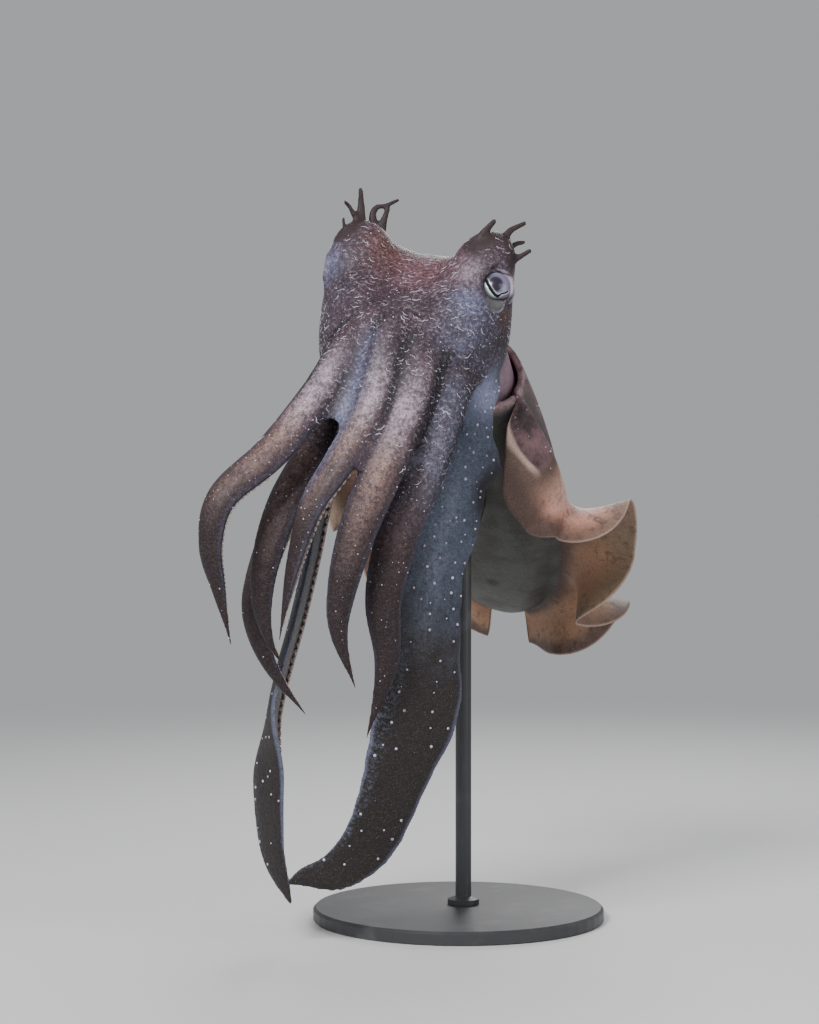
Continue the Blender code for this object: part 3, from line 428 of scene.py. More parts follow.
# Roots are in the head's frame, as forward, left and up. The other points, and the ways that the
# outer side faces at shares of an arm's length, are in the model's.
ARMS = {
    "arm_right_1": dict(
        root=(0.050, -0.012, 0.024), width=0.026, thick=0.017,
        line=[(-0.077, -0.135, 0.428), (-0.100, -0.149, 0.389), (-0.131, -0.165, 0.349),
              (-0.164, -0.177, 0.318), (-0.172, -0.177, 0.286), (-0.167, -0.171, 0.255),
              (-0.159, -0.165, 0.217)],
        outer=[(0.0, (-0.2, -0.9, 0.4)), (1.0, (-0.55, -0.8, 0.3))]),
    "arm_right_2": dict(
        root=(0.050, -0.036, 0.014), width=0.027, thick=0.016,
        line=[(-0.088, -0.107, 0.416), (-0.102, -0.131, 0.358), (-0.124, -0.145, 0.313),
              (-0.136, -0.149, 0.275), (-0.139, -0.147, 0.244), (-0.134, -0.143, 0.218),
              (-0.124, -0.139, 0.200)],
        outer=[(0.0, (-0.6, -0.7, 0.3)), (1.0, (-0.35, -0.95, 0.1))]),
    "arm_right_3": dict(
        root=(0.046, -0.047, -0.004), width=0.028, thick=0.015,
        line=[(-0.083, -0.085, 0.403), (-0.099, -0.103, 0.352), (-0.128, -0.119, 0.302),
              (-0.143, -0.125, 0.260), (-0.146, -0.123, 0.232), (-0.134, -0.121, 0.198),
              (-0.110, -0.119, 0.165)],
        outer=[(0.0, (-0.9, -0.4, 0.1)), (1.0, (-0.55, -0.8, 0.0))]),
    "arm_right_4": dict(
        root=(0.025, -0.050, -0.012), width=0.056, thick=0.010, banner=True,
        line=[(-0.072, -0.063, 0.390), (-0.089, -0.069, 0.353), (-0.100, -0.073, 0.317),
              (-0.109, -0.077, 0.273), (-0.119, -0.081, 0.230), (-0.129, -0.085, 0.193),
              (-0.136, -0.089, 0.159), (-0.138, -0.093, 0.123), (-0.137, -0.097, 0.087),
              (-0.133, -0.102, 0.060), (-0.121, -0.109, 0.030)],
        outer=[(0.0, (-0.99, 0.0, -0.1)), (0.66, (-0.99, -0.05, 0.0)),
               (0.80, (-0.86, -0.5, 0.0)), (1.0, (-0.80, -0.6, 0.0))]),
    "arm_left_1": dict(
        root=(0.050, 0.012, 0.024), width=0.024, thick=0.015,
        line=[(-0.050, -0.147, 0.431), (-0.064, -0.163, 0.378), (-0.084, -0.171, 0.343),
              (-0.103, -0.175, 0.313), (-0.114, -0.173, 0.279), (-0.121, -0.169, 0.248),
              (-0.126, -0.165, 0.220)],
        outer=[(0.0, (0.0, -0.9, 0.4)), (1.0, (-0.85, -0.45, 0.0))]),
    "arm_left_2": dict(
        root=(0.050, 0.034, 0.016), width=0.027, thick=0.017,
        line=[(-0.024, -0.147, 0.424), (-0.037, -0.161, 0.381), (-0.054, -0.171, 0.340),
              (-0.072, -0.175, 0.296), (-0.083, -0.173, 0.255), (-0.085, -0.169, 0.224),
              (-0.074, -0.163, 0.187)],
        outer=[(0.0, (0.1, -0.95, 0.3)), (1.0, (-0.1, -1.0, 0.1))]),
    "arm_left_3": dict(
        root=(0.046, 0.045, -0.002), width=0.029, thick=0.017,
        line=[(0.000, -0.135, 0.418), (-0.010, -0.143, 0.386), (-0.026, -0.149, 0.340),
              (-0.045, -0.151, 0.292), (-0.055, -0.149, 0.247), (-0.053, -0.143, 0.202),
              (-0.067, -0.135, 0.150)],
        outer=[(0.0, (0.4, -0.9, 0.2)), (1.0, (0.1, -1.0, 0.0))]),
    "arm_left_4": dict(
        root=(0.025, 0.050, -0.012), width=0.061, thick=0.010, banner=True,
        line=[(0.017, -0.105, 0.405), (0.012, -0.107, 0.366), (0.000, -0.109, 0.317),
              (-0.011, -0.111, 0.274), (-0.020, -0.113, 0.232), (-0.028, -0.115, 0.189),
              (-0.042, -0.117, 0.144), (-0.062, -0.115, 0.097), (-0.087, -0.112, 0.063),
              (-0.122, -0.115, 0.046)],
        outer=[(0.0, (0.5, -0.85, 0.1)), (1.0, (0.35, -0.9, 0.1))],
        # How much more, or less, the sheet reaches to each side than its even outline would
        edges=[(0.0, (0.0, 0.0)), (0.08, (-0.10, 0.0)), (0.12, (-0.48, 0.0)), (0.155, (-0.40, 0.0)),
               (0.185, (-0.06, 0.0)), (0.205, (0.10, 0.0)), (0.245, (-0.33, 0.0)), (0.33, (-0.35, 0.0)),
               (0.39, (-0.48, 0.0)), (0.44, (-0.36, 0.0)), (0.52, (-0.17, 0.0)), (0.60, (0.12, 0.0)),
               (0.65, (0.17, -0.02)), (0.72, (0.04, -0.18)), (0.76, (0.02, -0.29)), (0.80, (0.09, -0.38)),
               (0.84, (0.22, -0.48)), (0.88, (0.32, -0.52)), (0.93, (0.35, -0.50)), (1.0, (0.0, 0.0))]),
}
ARM_SIDES = 40
ARM_RINGS = 140
FATTEST_TIP = 0.0017
MEMBRANE = 0.0011
WEB_ORDER = ["arm_right_1", "arm_right_2", "arm_right_3", "arm_right_4",
             "arm_left_4", "arm_left_3", "arm_left_2", "arm_left_1"]
# Each turret's rings from the cheek to the crest: forward, out, up, half length and half breadth
TURRET = [(0.032, 0.040, -0.046, 0.016, 0.010), (0.028, 0.042, -0.036, 0.036, 0.022),
          (0.019, 0.043, -0.018, 0.041, 0.0245), (0.008, 0.042, 0.000, 0.039, 0.0255),
          (-0.004, 0.0425, 0.014, 0.034, 0.0245), (-0.013, 0.044, 0.026, 0.027, 0.0235),
          (-0.020, 0.046, 0.036, 0.019, 0.0185), (-0.023, 0.047, 0.043, 0.007, 0.008)]
TURRET_SPREAD = {1: 0.0, -1: 0.0055}
# Skin papillae over the eyes: each one's line, its breadths at root and tip, and its flatness
CREST = [
    ([(0.010, -0.109, 0.492), (0.0165, -0.111, 0.506), (0.0240, -0.113, 0.5150)], 0.0170, 0.0036, 0.60),
    ([(0.029, -0.105, 0.495), (0.0337, -0.105, 0.507), (0.0460, -0.103, 0.5140)], 0.0085, 0.0035, 0.85),
    ([(0.030, -0.100, 0.493), (0.0380, -0.097, 0.4990), (0.0455, -0.095, 0.5012)], 0.0070, 0.0034, 0.85),
    ([(0.032, -0.108, 0.484), (0.0410, -0.108, 0.4890), (0.0495, -0.108, 0.4940)], 0.0070, 0.0034, 0.85),
    ([(-0.074, -0.067, 0.508), (-0.0728, -0.067, 0.522), (-0.0722, -0.067, 0.534), (-0.0727, -0.068, 0.5440)],
     0.0150, 0.0036, 0.60),
    ([(-0.0745, -0.069, 0.519), (-0.0803, -0.071, 0.5293), (-0.0843, -0.074, 0.5334)], 0.0056, 0.0030, 0.85),
    ([(-0.0830, -0.077, 0.512), (-0.0846, -0.078, 0.517), (-0.0851, -0.078, 0.5210)], 0.0044, 0.0026, 0.90),
    ([(-0.0615, -0.061, 0.510), (-0.0640, -0.060, 0.5245), (-0.0608, -0.059, 0.5310),
      (-0.0542, -0.058, 0.5323), (-0.0447, -0.056, 0.5371)], 0.0090, 0.0029, 0.75),
    ([(-0.0585, -0.061, 0.512), (-0.0550, -0.060, 0.5235), (-0.0525, -0.058, 0.5310)], 0.0090, 0.0036, 0.75),
]
HEAD_VOXEL = 0.0012
HEAD_TRIANGLES = 190000
HEAD_SMOOTHING = 24
# A ball of this size rolls into the hollows of the head, or of the webs, and they are filled up to it
HEAD_FILLET = 0.015
WEB_FILLET = 0.0045
ROOT_REACH = 0.022
STUB_REACH = 0.125
WEB_SAG = 0.38
WEB_REACH = {"arm_right_1": 0.080, "arm_right_2": 0.075, "arm_right_3": 0.075, "arm_right_4": 0.065,
             "arm_left_4": 0.098, "arm_left_3": 0.112, "arm_left_2": 0.112, "arm_left_1": 0.150}

head_frame = animal_frame(HEAD_CENTRE, HEAD_YAW, HEAD_PITCH, HEAD_ROLL)
head_turn = head_frame.to_3x3()


def smooth_line(points, count):
    """count points evenly spaced on a smooth curve through the given ones, and the curve's length."""
    knots = [Vector(p) for p in points]
    knots = [2 * knots[0] - knots[1]] + knots + [2 * knots[-1] - knots[-2]]
    fine = []
    steps = 24
    for a, b, c, d in zip(knots, knots[1:], knots[2:], knots[3:]):
        for step in range(steps):
            u = step / steps
            fine.append(0.5 * (2 * b + (c - a) * u + (2 * a - 5 * b + 4 * c - d) * u**2
                               + (3 * b - 3 * c + d - a) * u**3))
    fine.append(knots[-2])
    reach = [0.0]
    for a, b in zip(fine, fine[1:]):
        reach.append(reach[-1] + (b - a).length)
    line = []
    k = 0
    for n in range(count):
        goal = reach[-1] * n / (count - 1)
        while k < len(fine) - 2 and reach[k + 1] < goal:
            k += 1
        line.append(fine[k].lerp(fine[k + 1], (goal - reach[k]) / (reach[k + 1] - reach[k])))
    return line, reach[-1]


def arm_breadth(s, arm):
    """An arm's breadth at share s of its length, as a part of its greatest."""
    if arm.get("banner"):
        return (0.45 + 0.55 * ease(0.02, 0.36, s)) * (1 - 0.94 * s**9)
    swell = 0.84 + 0.20 * math.sin(math.pi * min(1.0, s / 0.85))
    return swell * (1 - 0.985 * s**5) * (1 - 0.30 * ease(0.80, 1.0, s))


def arm_thickness(s, arm):
    if arm.get("banner"):
        return mix(0.016, arm["thick"], ease(0.0, 0.25, s)) * (1 - 0.90 * s**5)
    return arm["thick"] * (1 - 0.93 * s**3.5) * (1 - 0.25 * ease(0.80, 1.0, s))


def edge_share(arm, s, side):
    """How far out the arm's edge is on one side, as a share of its even half breadth."""
    if "edges" not in arm:
        return 1.0
    more, less = by_station(arm["edges"], s)
    return 1 + (more if side > 0 else less)


def arm_rows(arm):
    """At even shares of its length, the arm's place, broad way and outer way; then its length."""
    line, length = smooth_line([head_frame @ Vector(arm["root"]), *arm["line"]], ARM_RINGS)
    rows = []
    for n, place in enumerate(line):
        s = n / (ARM_RINGS - 1)
        tangent = (line[min(n + 1, ARM_RINGS - 1)] - line[max(n - 1, 0)]).normalized()
        outer = Vector(by_station(arm["outer"], s))
        outer = (outer - tangent * outer.dot(tangent)).normalized()
        rows.append((s, place, outer.cross(tangent), outer))
    return rows, length


def arm_ring(row, arm, share=1.0):
    """The arm's section: rounded outside, flatter inside, with a thin membrane along each edge."""
    s, place, broad, outer = row
    half_width = max(FATTEST_TIP, arm["width"] * arm_breadth(s, arm) / 2) * mix(1.0, share, 0.5)
    half_thick = max(FATTEST_TIP, arm_thickness(s, arm) / 2) * share
    ring = []
    for k in range(ARM_SIDES):
        turn = 2 * math.pi * k / ARM_SIDES
        side, rise = math.cos(turn), math.sin(turn)
        wing = 0.0
        if not arm.get("banner"):
            wing = MEMBRANE * math.exp(-((abs(side) - 1) / 0.10) ** 2) * (1 - s**3)
            rise *= 0.72 if rise < 0 else 1.0
        reach = half_width * edge_share(arm, s, side) * side
        ring.append(place + broad * (reach + math.copysign(wing, side))
                    + outer * half_thick * rise)
    return ring


def ring_about(centre, across, along, wide, deep, count):
    turns = [2 * math.pi * k / count for k in range(count)]
    return [centre + across * wide * math.cos(t) + along * deep * math.sin(t) for t in turns]


def add_loft(work, rings):
    """Adds a closed solid through rings with equal counts of points, its ends capped."""
    rows = [[work.verts.new(p) for p in ring] for ring in rings]
    faces = []
    for low, high in zip(rows, rows[1:]):
        for k in range(len(low)):
            j = (k + 1) % len(low)
            faces.append(work.faces.new((low[k], low[j], high[j], high[k])))
    faces += [work.faces.new(rows[0][::-1]), work.faces.new(rows[-1])]
    bmesh.ops.recalc_face_normals(work, faces=faces)


def add_ball(work, frame_of, centre, radii, fineness=5):
    matrix = frame_of @ Matrix.Translation(centre) @ Matrix.Diagonal((*radii, 1.0))
    bmesh.ops.create_icosphere(work, subdivisions=fineness, radius=1.0, matrix=matrix)


def mirrored(point, side):
    return Vector((point[0], point[1] * side, point[2]))


def eye_place(side):
    return head_frame @ mirrored((EYE_CENTRE[0], EYE_CENTRE[1] + TURRET_SPREAD[side], EYE_CENTRE[2]), side)


def eye_turn(side):
    """The eye's own axes: across, up the face, and out along its gaze."""
    axis = (head_turn @ mirrored(EYE_AXIS[side], side)).normalized()
    up = (Vector((0, 0, 1)) - axis * axis.z).normalized()
    return up.cross(axis), up, axis


def add_turret(work, side):
    forward, left = head_turn @ Vector((1, 0, 0)), head_turn @ Vector((0, 1, 0))
    knots = len(TURRET)
    count = 36
    rings = []
    for n in range(count):
        spot = (knots - 1) * n / (count - 1)
        k = min(int(spot), knots - 2)
        u = spot - k
        a, b, c, d = (np.array(TURRET[min(max(j, 0), knots - 1)]) for j in (k - 1, k, k + 1, k + 2))
        x, y, z, long_half, broad_half = 0.5 * (2 * b + (c - a) * u + (2 * a - 5 * b + 4 * c - d) * u**2
                                                + (3 * b - 3 * c + d - a) * u**3)
        centre = head_frame @ mirrored((x, y + TURRET_SPREAD[side], z), side)
        rings.append(ring_about(centre, forward, left, long_half, broad_half, 48))
    add_loft(work, rings)


def add_web(work, reach, rows_a, length_a, rows_b, length_b):
    """The web between two neighbouring arms. Its free margin sags between them towards the mouth."""
    count, across_count = 22, 18
    rings = []
    for m in range(across_count + 1):
        v = m / across_count
        longest = reach * (1 - WEB_SAG * math.sin(math.pi * v))
        front, behind = [], []
        for n in range(count):
            share = n / (count - 1)
            away = longest * mix(0.04, 1.0, share)
            place_a, outer_a = row_at(rows_a, away / length_a)
            place_b, outer_b = row_at(rows_b, away / length_b)
            outer = outer_a.lerp(outer_b, v).normalized()
            half = WEB_THICKNESS / 2 * math.sqrt(max(0.02, 1 - share**8))
            front.append(place_a.lerp(place_b, v) + outer * half)
            behind.append(place_a.lerp(place_b, v) - outer * half)
        rings.append(front + behind[::-1])
    add_loft(work, rings)


def row_at(rows, share):
    spot = share * (len(rows) - 1)
    k = min(int(spot), len(rows) - 2)
    return rows[k][1].lerp(rows[k + 1][1], spot - k), rows[k][3].lerp(rows[k + 1][3], spot - k)


def add_neck(work):
    start = head_frame @ Vector((0.004, 0, -0.010))
    end = mantle_frame @ Vector((-COLLAR_DEPTH - 0.004, 0, 0.002))
    left, up = (mantle_frame.to_3x3() @ Vector(way) for way in ((0, 1, 0), (0, 0, 1)))
    add_loft(work, [ring_about(start.lerp(end, n / 12), left, up, mix(0.055, 0.0535, n / 12),
                               mix(0.037, 0.0325, n / 12), 48) for n in range(13)])


def add_crest(work, points, root_breadth, tip_breadth, flat):
    """A fleshy papilla with a broad root and a blunt tip."""
    count = 20
    line, _ = smooth_line(points, count)
    rings = []
    across = Vector((1, 0, 0))
    for n, place in enumerate(line):
        tangent = (line[min(n + 1, count - 1)] - line[max(n - 1, 0)]).normalized()
        across = (across - tangent * across.dot(tangent)).normalized()
        share = n / (count - 1)
        half = mix(tip_breadth, root_breadth, (1 - share) ** 1.7) / 2
        blunt = 0.7 if n == count - 1 else 1.0
        deep = max(tip_breadth / 2, half * flat)
        rings.append(ring_about(place, across, tangent.cross(across), half * blunt, deep * blunt, 16))
    add_loft(work, rings)


def melted(work, name, voxel):
    """Melts overlapping closed lumps into one skin of small faces."""
    mesh = bpy.data.meshes.new(name)
    work.to_mesh(mesh)
    work.free()
    obj = bpy.data.objects.new(name, mesh)
    bpy.context.scene.collection.objects.link(obj)
    melt = obj.modifiers.new("melt", "REMESH")
    melt.mode = "VOXEL"
    melt.voxel_size = voxel
    return settled(obj)


def settled(obj):
    """Turns the object's live modifiers into its mesh."""
    graph = bpy.context.evaluated_depsgraph_get()
    mesh = bpy.data.meshes.new_from_object(obj.evaluated_get(graph))
    obj.modifiers.clear()
    old = obj.data
    obj.data = mesh
    bpy.data.meshes.remove(old)
    return obj


arm_lines = {name: arm_rows(arm) for name, arm in ARMS.items()}


def rounded_root(s):
    """An arm's section grows out of the face from this share of its full size."""
    return mix(0.45, 1.0, ease(-0.02, 0.13, s))


def moved_out(obj, reach):
    normals = np.empty(len(obj.data.vertices) * 3)
    obj.data.vertices.foreach_get("normal", normals)
    settle_points(obj, points_of(obj.data) + normals.reshape(-1, 3) * reach)


def melted_again(obj, rounds):
    melt = obj.modifiers.new("melt", "REMESH")
    melt.mode = "VOXEL"
    melt.voxel_size = HEAD_VOXEL
    settled(obj)
    settle_points(obj, relaxed(points_of(obj.data), edges_of(obj.data), np.ones(len(obj.data.vertices)), rounds))


def filled(obj, radius, rounds):
    """Fills a lump's hollows as far as a ball of the radius can't roll into them, and smooths it."""
    moved_out(obj, radius)
    melted_again(obj, 8)
    moved_out(obj, -radius)
    melted_again(obj, rounds)


def add_arm_roots(work, reach):
    for name, arm in ARMS.items():
        rows, length = arm_lines[name]
        add_loft(work, [arm_ring(row, arm, rounded_root(row[0])) for row in rows
                        if row[0] * length < reach * (0.6 if arm.get("banner") else 1.0)])


def make_head_lumps():
    """The head with its eye sockets cut, before the lids, crests and arms grow on it."""
    work = bmesh.new()
    add_ball(work, head_frame, (-0.006, 0.0, -0.008), (0.044, 0.058, 0.029))
    add_ball(work, head_frame, (0.006, 0.0, 0.001), (0.040, 0.062, 0.020))
    add_ball(work, head_frame, (0.044, -0.002, -0.006), (0.046, 0.061, 0.030))
    add_ball(work, head_frame, (0.056, 0.0, -0.018), (0.034, 0.046, 0.028))
    add_neck(work)
    for side in (1, -1):
        add_turret(work, side)
        add_ball(work, head_frame, (0.024, 0.034 * side, -0.002), (0.040, 0.032, 0.030))
    add_ball(work, head_frame, (-0.018, -0.027, 0.004), (0.026, 0.022, 0.0185))
    add_ball(work, head_frame, (-0.010, 0.025, 0.008), (0.026, 0.020, 0.0165))
    add_arm_roots(work, ROOT_REACH)
    head = melted(work, "head_lumps", HEAD_VOXEL)
    filled(head, HEAD_FILLET, HEAD_SMOOTHING)
    work = bmesh.new()
    work.from_mesh(head.data)
    bpy.data.objects.remove(head)
    add_arm_roots(work, STUB_REACH)
    for first, second in zip(WEB_ORDER, WEB_ORDER[1:] + WEB_ORDER[:1]):
        add_web(work, WEB_REACH[first], *arm_lines[first], *arm_lines[second])
    head = melted(work, "head_lumps", HEAD_VOXEL)
    filled(head, WEB_FILLET, 10)
    work = bmesh.new()
    for side in (1, -1):
        centre = eye_place(side)
        across, up, axis = eye_turn(side)
        opening = EYE_RADIUS * math.sin(OPENING_SPREAD)
        tall = opening * OPENING_TALLNESS
        add_loft(work, [ring_about(centre + axis * reach, across, up, opening * share, tall * share, 40)
                        for reach, share in ((-0.016, 1.0), (0.002, 1.0), (0.030, 1.4))])
    sockets = skin_from(work, "sockets")
    cut = head.modifiers.new("sockets", "BOOLEAN")
    cut.operation = "DIFFERENCE"
    cut.solver = "MANIFOLD"
    cut.object = sockets
    settled(head)
    bpy.data.objects.remove(sockets)
    return head


def skin_from(work, name):
    mesh = bpy.data.meshes.new(name)
    work.to_mesh(mesh)
    work.free()
    obj = bpy.data.objects.new(name, mesh)
    bpy.context.scene.collection.objects.link(obj)
    return obj


def eye_frame(side):
    across, up, axis = eye_turn(side)
    turn = Matrix((across, up, axis)).transposed().to_4x4()
    return Matrix.Translation(eye_place(side)) @ turn


def add_lid_ring(work, side, radius, height, thick, start, end):
    """A fleshy ring round the eye, or an arc of one, at a height along its gaze."""
    centre = eye_place(side)
    across, up, axis = eye_turn(side)
    count = 64
    rings = []
    for n in range(count + 1):
        angle = math.radians(mix(start, end, n / count))
        way = across * math.cos(angle) + up * math.sin(angle) * OPENING_TALLNESS
        taper = 1.0 if end - start == 360 else max(0.3, math.sin(math.pi * n / count)) ** 0.5
        taper *= 1 - 0.35 * max(0.0, math.cos(angle) * side)
        rings.append(ring_about(centre + axis * height + way * radius, way, axis, thick * taper, thick * taper, 14))
    if end - start == 360:
        half = count // 2
        add_loft(work, rings[:half + 2])
        add_loft(work, rings[half - 1:] + rings[1:2])
    else:
        add_loft(work, rings)


def add_lids(work, side):
    """The lid's ring, a heavy brow fold over it, and the pouch of the lower lid with its rim."""
    rim = EYE_RADIUS * math.sin(OPENING_SPREAD)
    height = EYE_RADIUS * math.cos(OPENING_SPREAD)
    add_lid_ring(work, side, rim + 0.0006, height + 0.0004, LID_THICKNESS, 0, 360)
    add_lid_ring(work, side, rim + 0.0016, height - 0.0004, LID_THICKNESS * 0.9, 205, 335)
    for centre, radii in (LID_POUCH, *BROWS):
        add_ball(work, eye_frame(side), (centre[0] * side, *centre[1:]), radii, 4)


def make_head_skin():
    head = make_head_lumps()
    work = bmesh.new()
    work.from_mesh(head.data)
    bpy.data.objects.remove(head)
    for side in (1, -1):
        add_lids(work, side)
    for papilla in CREST:
        add_crest(work, *papilla)
    for name, arm in ARMS.items():
        add_loft(work, [arm_ring(row, arm, rounded_root(row[0])) for row in arm_lines[name][0]])
    skin = melted(work, "head_and_arms_skin", HEAD_VOXEL)
    slim_and_settle(skin)
    fewer = skin.modifiers.new("fewer", "DECIMATE")
    fewer.ratio = min(1.0, HEAD_TRIANGLES / (2 * len(skin.data.polygons)))
    settled(skin)
    face_outwards(skin)
    return skin


def arm_samples():
    """Where each arm's line runs, for finding the arm, and the place on it, nearest to a point."""
    shares = (-0.8, -0.4, 0.0, 0.4, 0.8)
    tree = KDTree(len(ARMS) * ARM_RINGS * len(shares))
    table = []
    for number, (name, arm) in enumerate(ARMS.items()):
        for s, place, broad, outer in arm_lines[name][0]:
            for share in shares:
                tree.insert(place + broad * arm["width"] * arm_breadth(s, arm) / 2 * share, len(table))
            table.append((number, s, *place, *broad, *outer, arm["width"] * arm_breadth(s, arm) / 2,
                          arm_thickness(s, arm) / 2, float(arm.get("banner", False))))
    tree.balance()
    return tree, np.array(table)


arm_tree, arm_table = arm_samples()


def nearest_rows(points):
    """For each point, its arm's row in the table, and its offsets along the arm's broad and outer ways."""
    rows = arm_table[[arm_tree.find(p)[1] for p in points]]
    offset = points - rows[:, 2:5]
    return rows, (offset * rows[:, 5:8]).sum(axis=1), (offset * rows[:, 8:11]).sum(axis=1)


def crest_samples():
    line_points = [place for points, *_ in CREST for place in smooth_line(points, 20)[0][4:]]
    tree = KDTree(len(line_points))
    for number, place in enumerate(line_points):
        tree.insert(place, number)
    tree.balance()
    return tree


crest_tree = crest_samples()


def crest_nearness(points, near=0.0045, far=0.0085):
    """1 on the papillae over the eyes, 0 away from them."""
    away = np.array([crest_tree.find(p)[2] for p in points])
    return 1 - np.clip((away - near) / (far - near), 0, 1)


def slim_and_settle(skin):
    """Smooths the melted skin, most on the head, and draws the fattened arm tips to their true size."""
    points = points_of(skin.data)
    rows, _, _ = nearest_rows(points)
    on_head = 1 - np.clip(rows[:, 1] / 0.12, 0, 1)
    crest = crest_nearness(points)
    eye_near = np.min([np.linalg.norm(points - np.array(eye_place(side)), axis=1) for side in (1, -1)], axis=0)
    lids = 1 - np.clip((eye_near - 0.019) / 0.006, 0, 1)
    weight = (0.35 + 0.30 * rows[:, 13] + 0.65 * on_head * (1 - 0.85 * lids)) * (1 - 0.92 * crest)
    weight = np.minimum(weight, 1.0)
    points = relaxed(points, edges_of(skin.data), weight, 9)
    rows, broad, outer = nearest_rows(points)
    slim_broad = np.minimum(1.0, rows[:, 11] / FATTEST_TIP)
    slim_outer = np.minimum(1.0, rows[:, 12] / FATTEST_TIP)
    points = (points + rows[:, 5:8] * (broad * (slim_broad - 1))[:, None]
              + rows[:, 8:11] * (outer * (slim_outer - 1))[:, None])
    settle_points(skin, points)


head_skin = make_head_skin()


# The finish of the head and arms. Dark colour cells lie over bright ones all through the skin, so it is mottled brown
# and purple, pink on the saddle and pale on the cheeks and webs. Painted shade blackens the folds, the grooves between
# the arms and the rims of the eyes, and a painted sheen and highlights lighten the arms' crests and the broad arm's
# root.

BROWN_DARK = (0.020, 0.010, 0.013)
BROWN_LIGHT = (0.064, 0.034, 0.042)
PURPLE = (0.062, 0.034, 0.062)
TIP_BROWN = (0.017, 0.009, 0.007)
SADDLE_PINK = (0.150, 0.058, 0.072)
SADDLE_ORANGE = (0.120, 0.048, 0.030)
LAVENDER = (0.230, 0.255, 0.420)
COOL = (0.070, 0.078, 0.125)
SHEEN = (0.600, 0.485, 0.570)
WARM_SHEEN = (0.355, 0.225, 0.190)
SHINE = (0.400, 0.400, 0.560)
INNER_GREY = (0.200, 0.200, 0.215)
BANNER_GREY = (0.060, 0.082, 0.125)
BANNER_PALE = (0.170, 0.200, 0.270)
BANNER_BROWN = (0.014, 0.011, 0.007)
POUCH_GREY = (0.088, 0.088, 0.090)
# Black for painted shade in folds, grooves and hollows, and for the skin's own black rings and cells
SHADE_AND_MARK_BLACK = (0.008, 0.005, 0.009)
CREST_BROWN = (0.030, 0.018, 0.020)
NECK_PINK = (0.300, 0.200, 0.250)
# Pale and dark places on the head in its own frame, on both sides: centre, radius and strength. The fourth pale spot,
# at the broad arm's root, is a painted highlight.
PALE_AND_HIGHLIGHT_SPOTS = [((0.030, 0.046, 0.024), 0.011, 0.80), ((0.051, 0.049, 0.014), 0.013, 0.16),
              ((0.062, 0.044, 0.008), 0.010, 0.35), ((0.050, 0.059, -0.041), 0.014, 1.00),
              ((0.004, 0.066, 0.030), 0.010, 0.30)]
TURRET_SHEEN = [((0.006, 0.038, 0.031), 0.014, 0.55)]
DARK_SPOTS = [((0.019, 0.068, -0.016), 0.016, 1.0), ((0.018, 0.067, -0.002), 0.011, 0.9),
              ((-0.004, 0.050, 0.041), 0.012, 0.5),
              ((0.040, 0.020, 0.022), 0.014, 0.5), ((0.028, 0.066, -0.034), 0.012, 0.8)]
RIGHT_FLANK_PALE = ((0.006, -0.068, 0.026), 0.014, 0.9)
# Painted shade over the front of the right eye turret: centre, radius and strength
RIGHT_TURRET_SHADE = ((0.012, -0.042, 0.030), 0.019, 0.60)
# The animal's right side keeps only this share of the pale spots, sheen, cool tint and highlights, which leaves it
# darker as painted shade
RIGHT_SIDE_SHADE_SHARE = 0.15
COOL_SPOTS = [((0.044, 0.054, 0.010), 0.027, 0.85), ((0.056, 0.052, -0.010), 0.022, 0.6)]
SHINE_SPOTS = [((0.050, 0.060, -0.041), 0.012, 1.0)]
HOLLOW_ROUNDS = 26
CLUSTER_SCALE = 70.0


def normals_of(mesh):
    flat = np.empty(len(mesh.vertices) * 3)
    mesh.vertices.foreach_get("normal", flat)
    return flat.reshape(-1, 3)


def spots(local, places):
    """How much each point lies in the soft round spots that are mirrored on both sides of the head."""
    amount = np.zeros(len(local))
    for centre, radius, strength in places:
        beside = local * np.array([1, np.sign(centre[1]), 1])
        beside = np.stack([beside[:, 0], np.abs(beside[:, 1]), beside[:, 2]], axis=1)
        away = np.linalg.norm(beside - np.abs(np.array(centre)) * np.sign(np.array([centre[0], 1, centre[2]])), axis=1)
        amount = np.maximum(amount, strength * np.exp(-(away / radius) ** 2))
    return amount


def web_line():
    """Points down the middle of the pale web between the two front arms."""
    rows_a, length_a = arm_lines["arm_right_1"]
    rows_b, length_b = arm_lines["arm_left_1"]
    return [row_at(rows_a, reach / length_a)[0].lerp(row_at(rows_b, reach / length_b)[0], 0.62)
            for reach in np.linspace(0.030, 0.150, 24)]


BANNER_DOT_STEP = 0.0108
BANNER_DOT_COLUMNS = (-0.62, -0.18, 0.30, 0.72)
BANNER_DOT_JITTER = 0.14
BANNER_DOT_SIZES = (0.00055, 0.00115)


def banner_dots():
    """Where the big white dots sit on the outer side of the two broad arms, in loose rows."""
    skin_tree = BVHTree.FromObject(head_skin, bpy.context.evaluated_depsgraph_get())
    chance = random.Random(21)
    places, ways, sizes = [], [], []
    for name, arm in ARMS.items():
        if not arm.get("banner"):
            continue
        rows, length = arm_lines[name]
        s = 0.07
        while s < 0.93:
            for share in BANNER_DOT_COLUMNS:
                if chance.random() < mix(0.12, 0.62, ease(0.25, 0.80, s)):
                    continue
                at = min(0.99, s + chance.uniform(-0.4, 0.4) * BANNER_DOT_STEP / length)
                share += chance.uniform(-BANNER_DOT_JITTER, BANNER_DOT_JITTER)
                place, outer = row_at(rows, at)
                broad = rows[int(at * (ARM_RINGS - 1))][2]
                half = arm["width"] * arm_breadth(at, arm) / 2 * edge_share(arm, at, share)
                start = place + broad * (share * half) + outer * 0.030
                hit, normal, _, _ = skin_tree.ray_cast(start, -outer, 0.036)
                if hit is not None and normal.dot(outer) > 0.6:
                    places.append(tuple(hit))
                    ways.append(tuple(normal))
                    sizes.append(mix(*BANNER_DOT_SIZES, chance.random()))
            s += BANNER_DOT_STEP / length
    return np.array(places), np.array(ways), np.array(sizes)


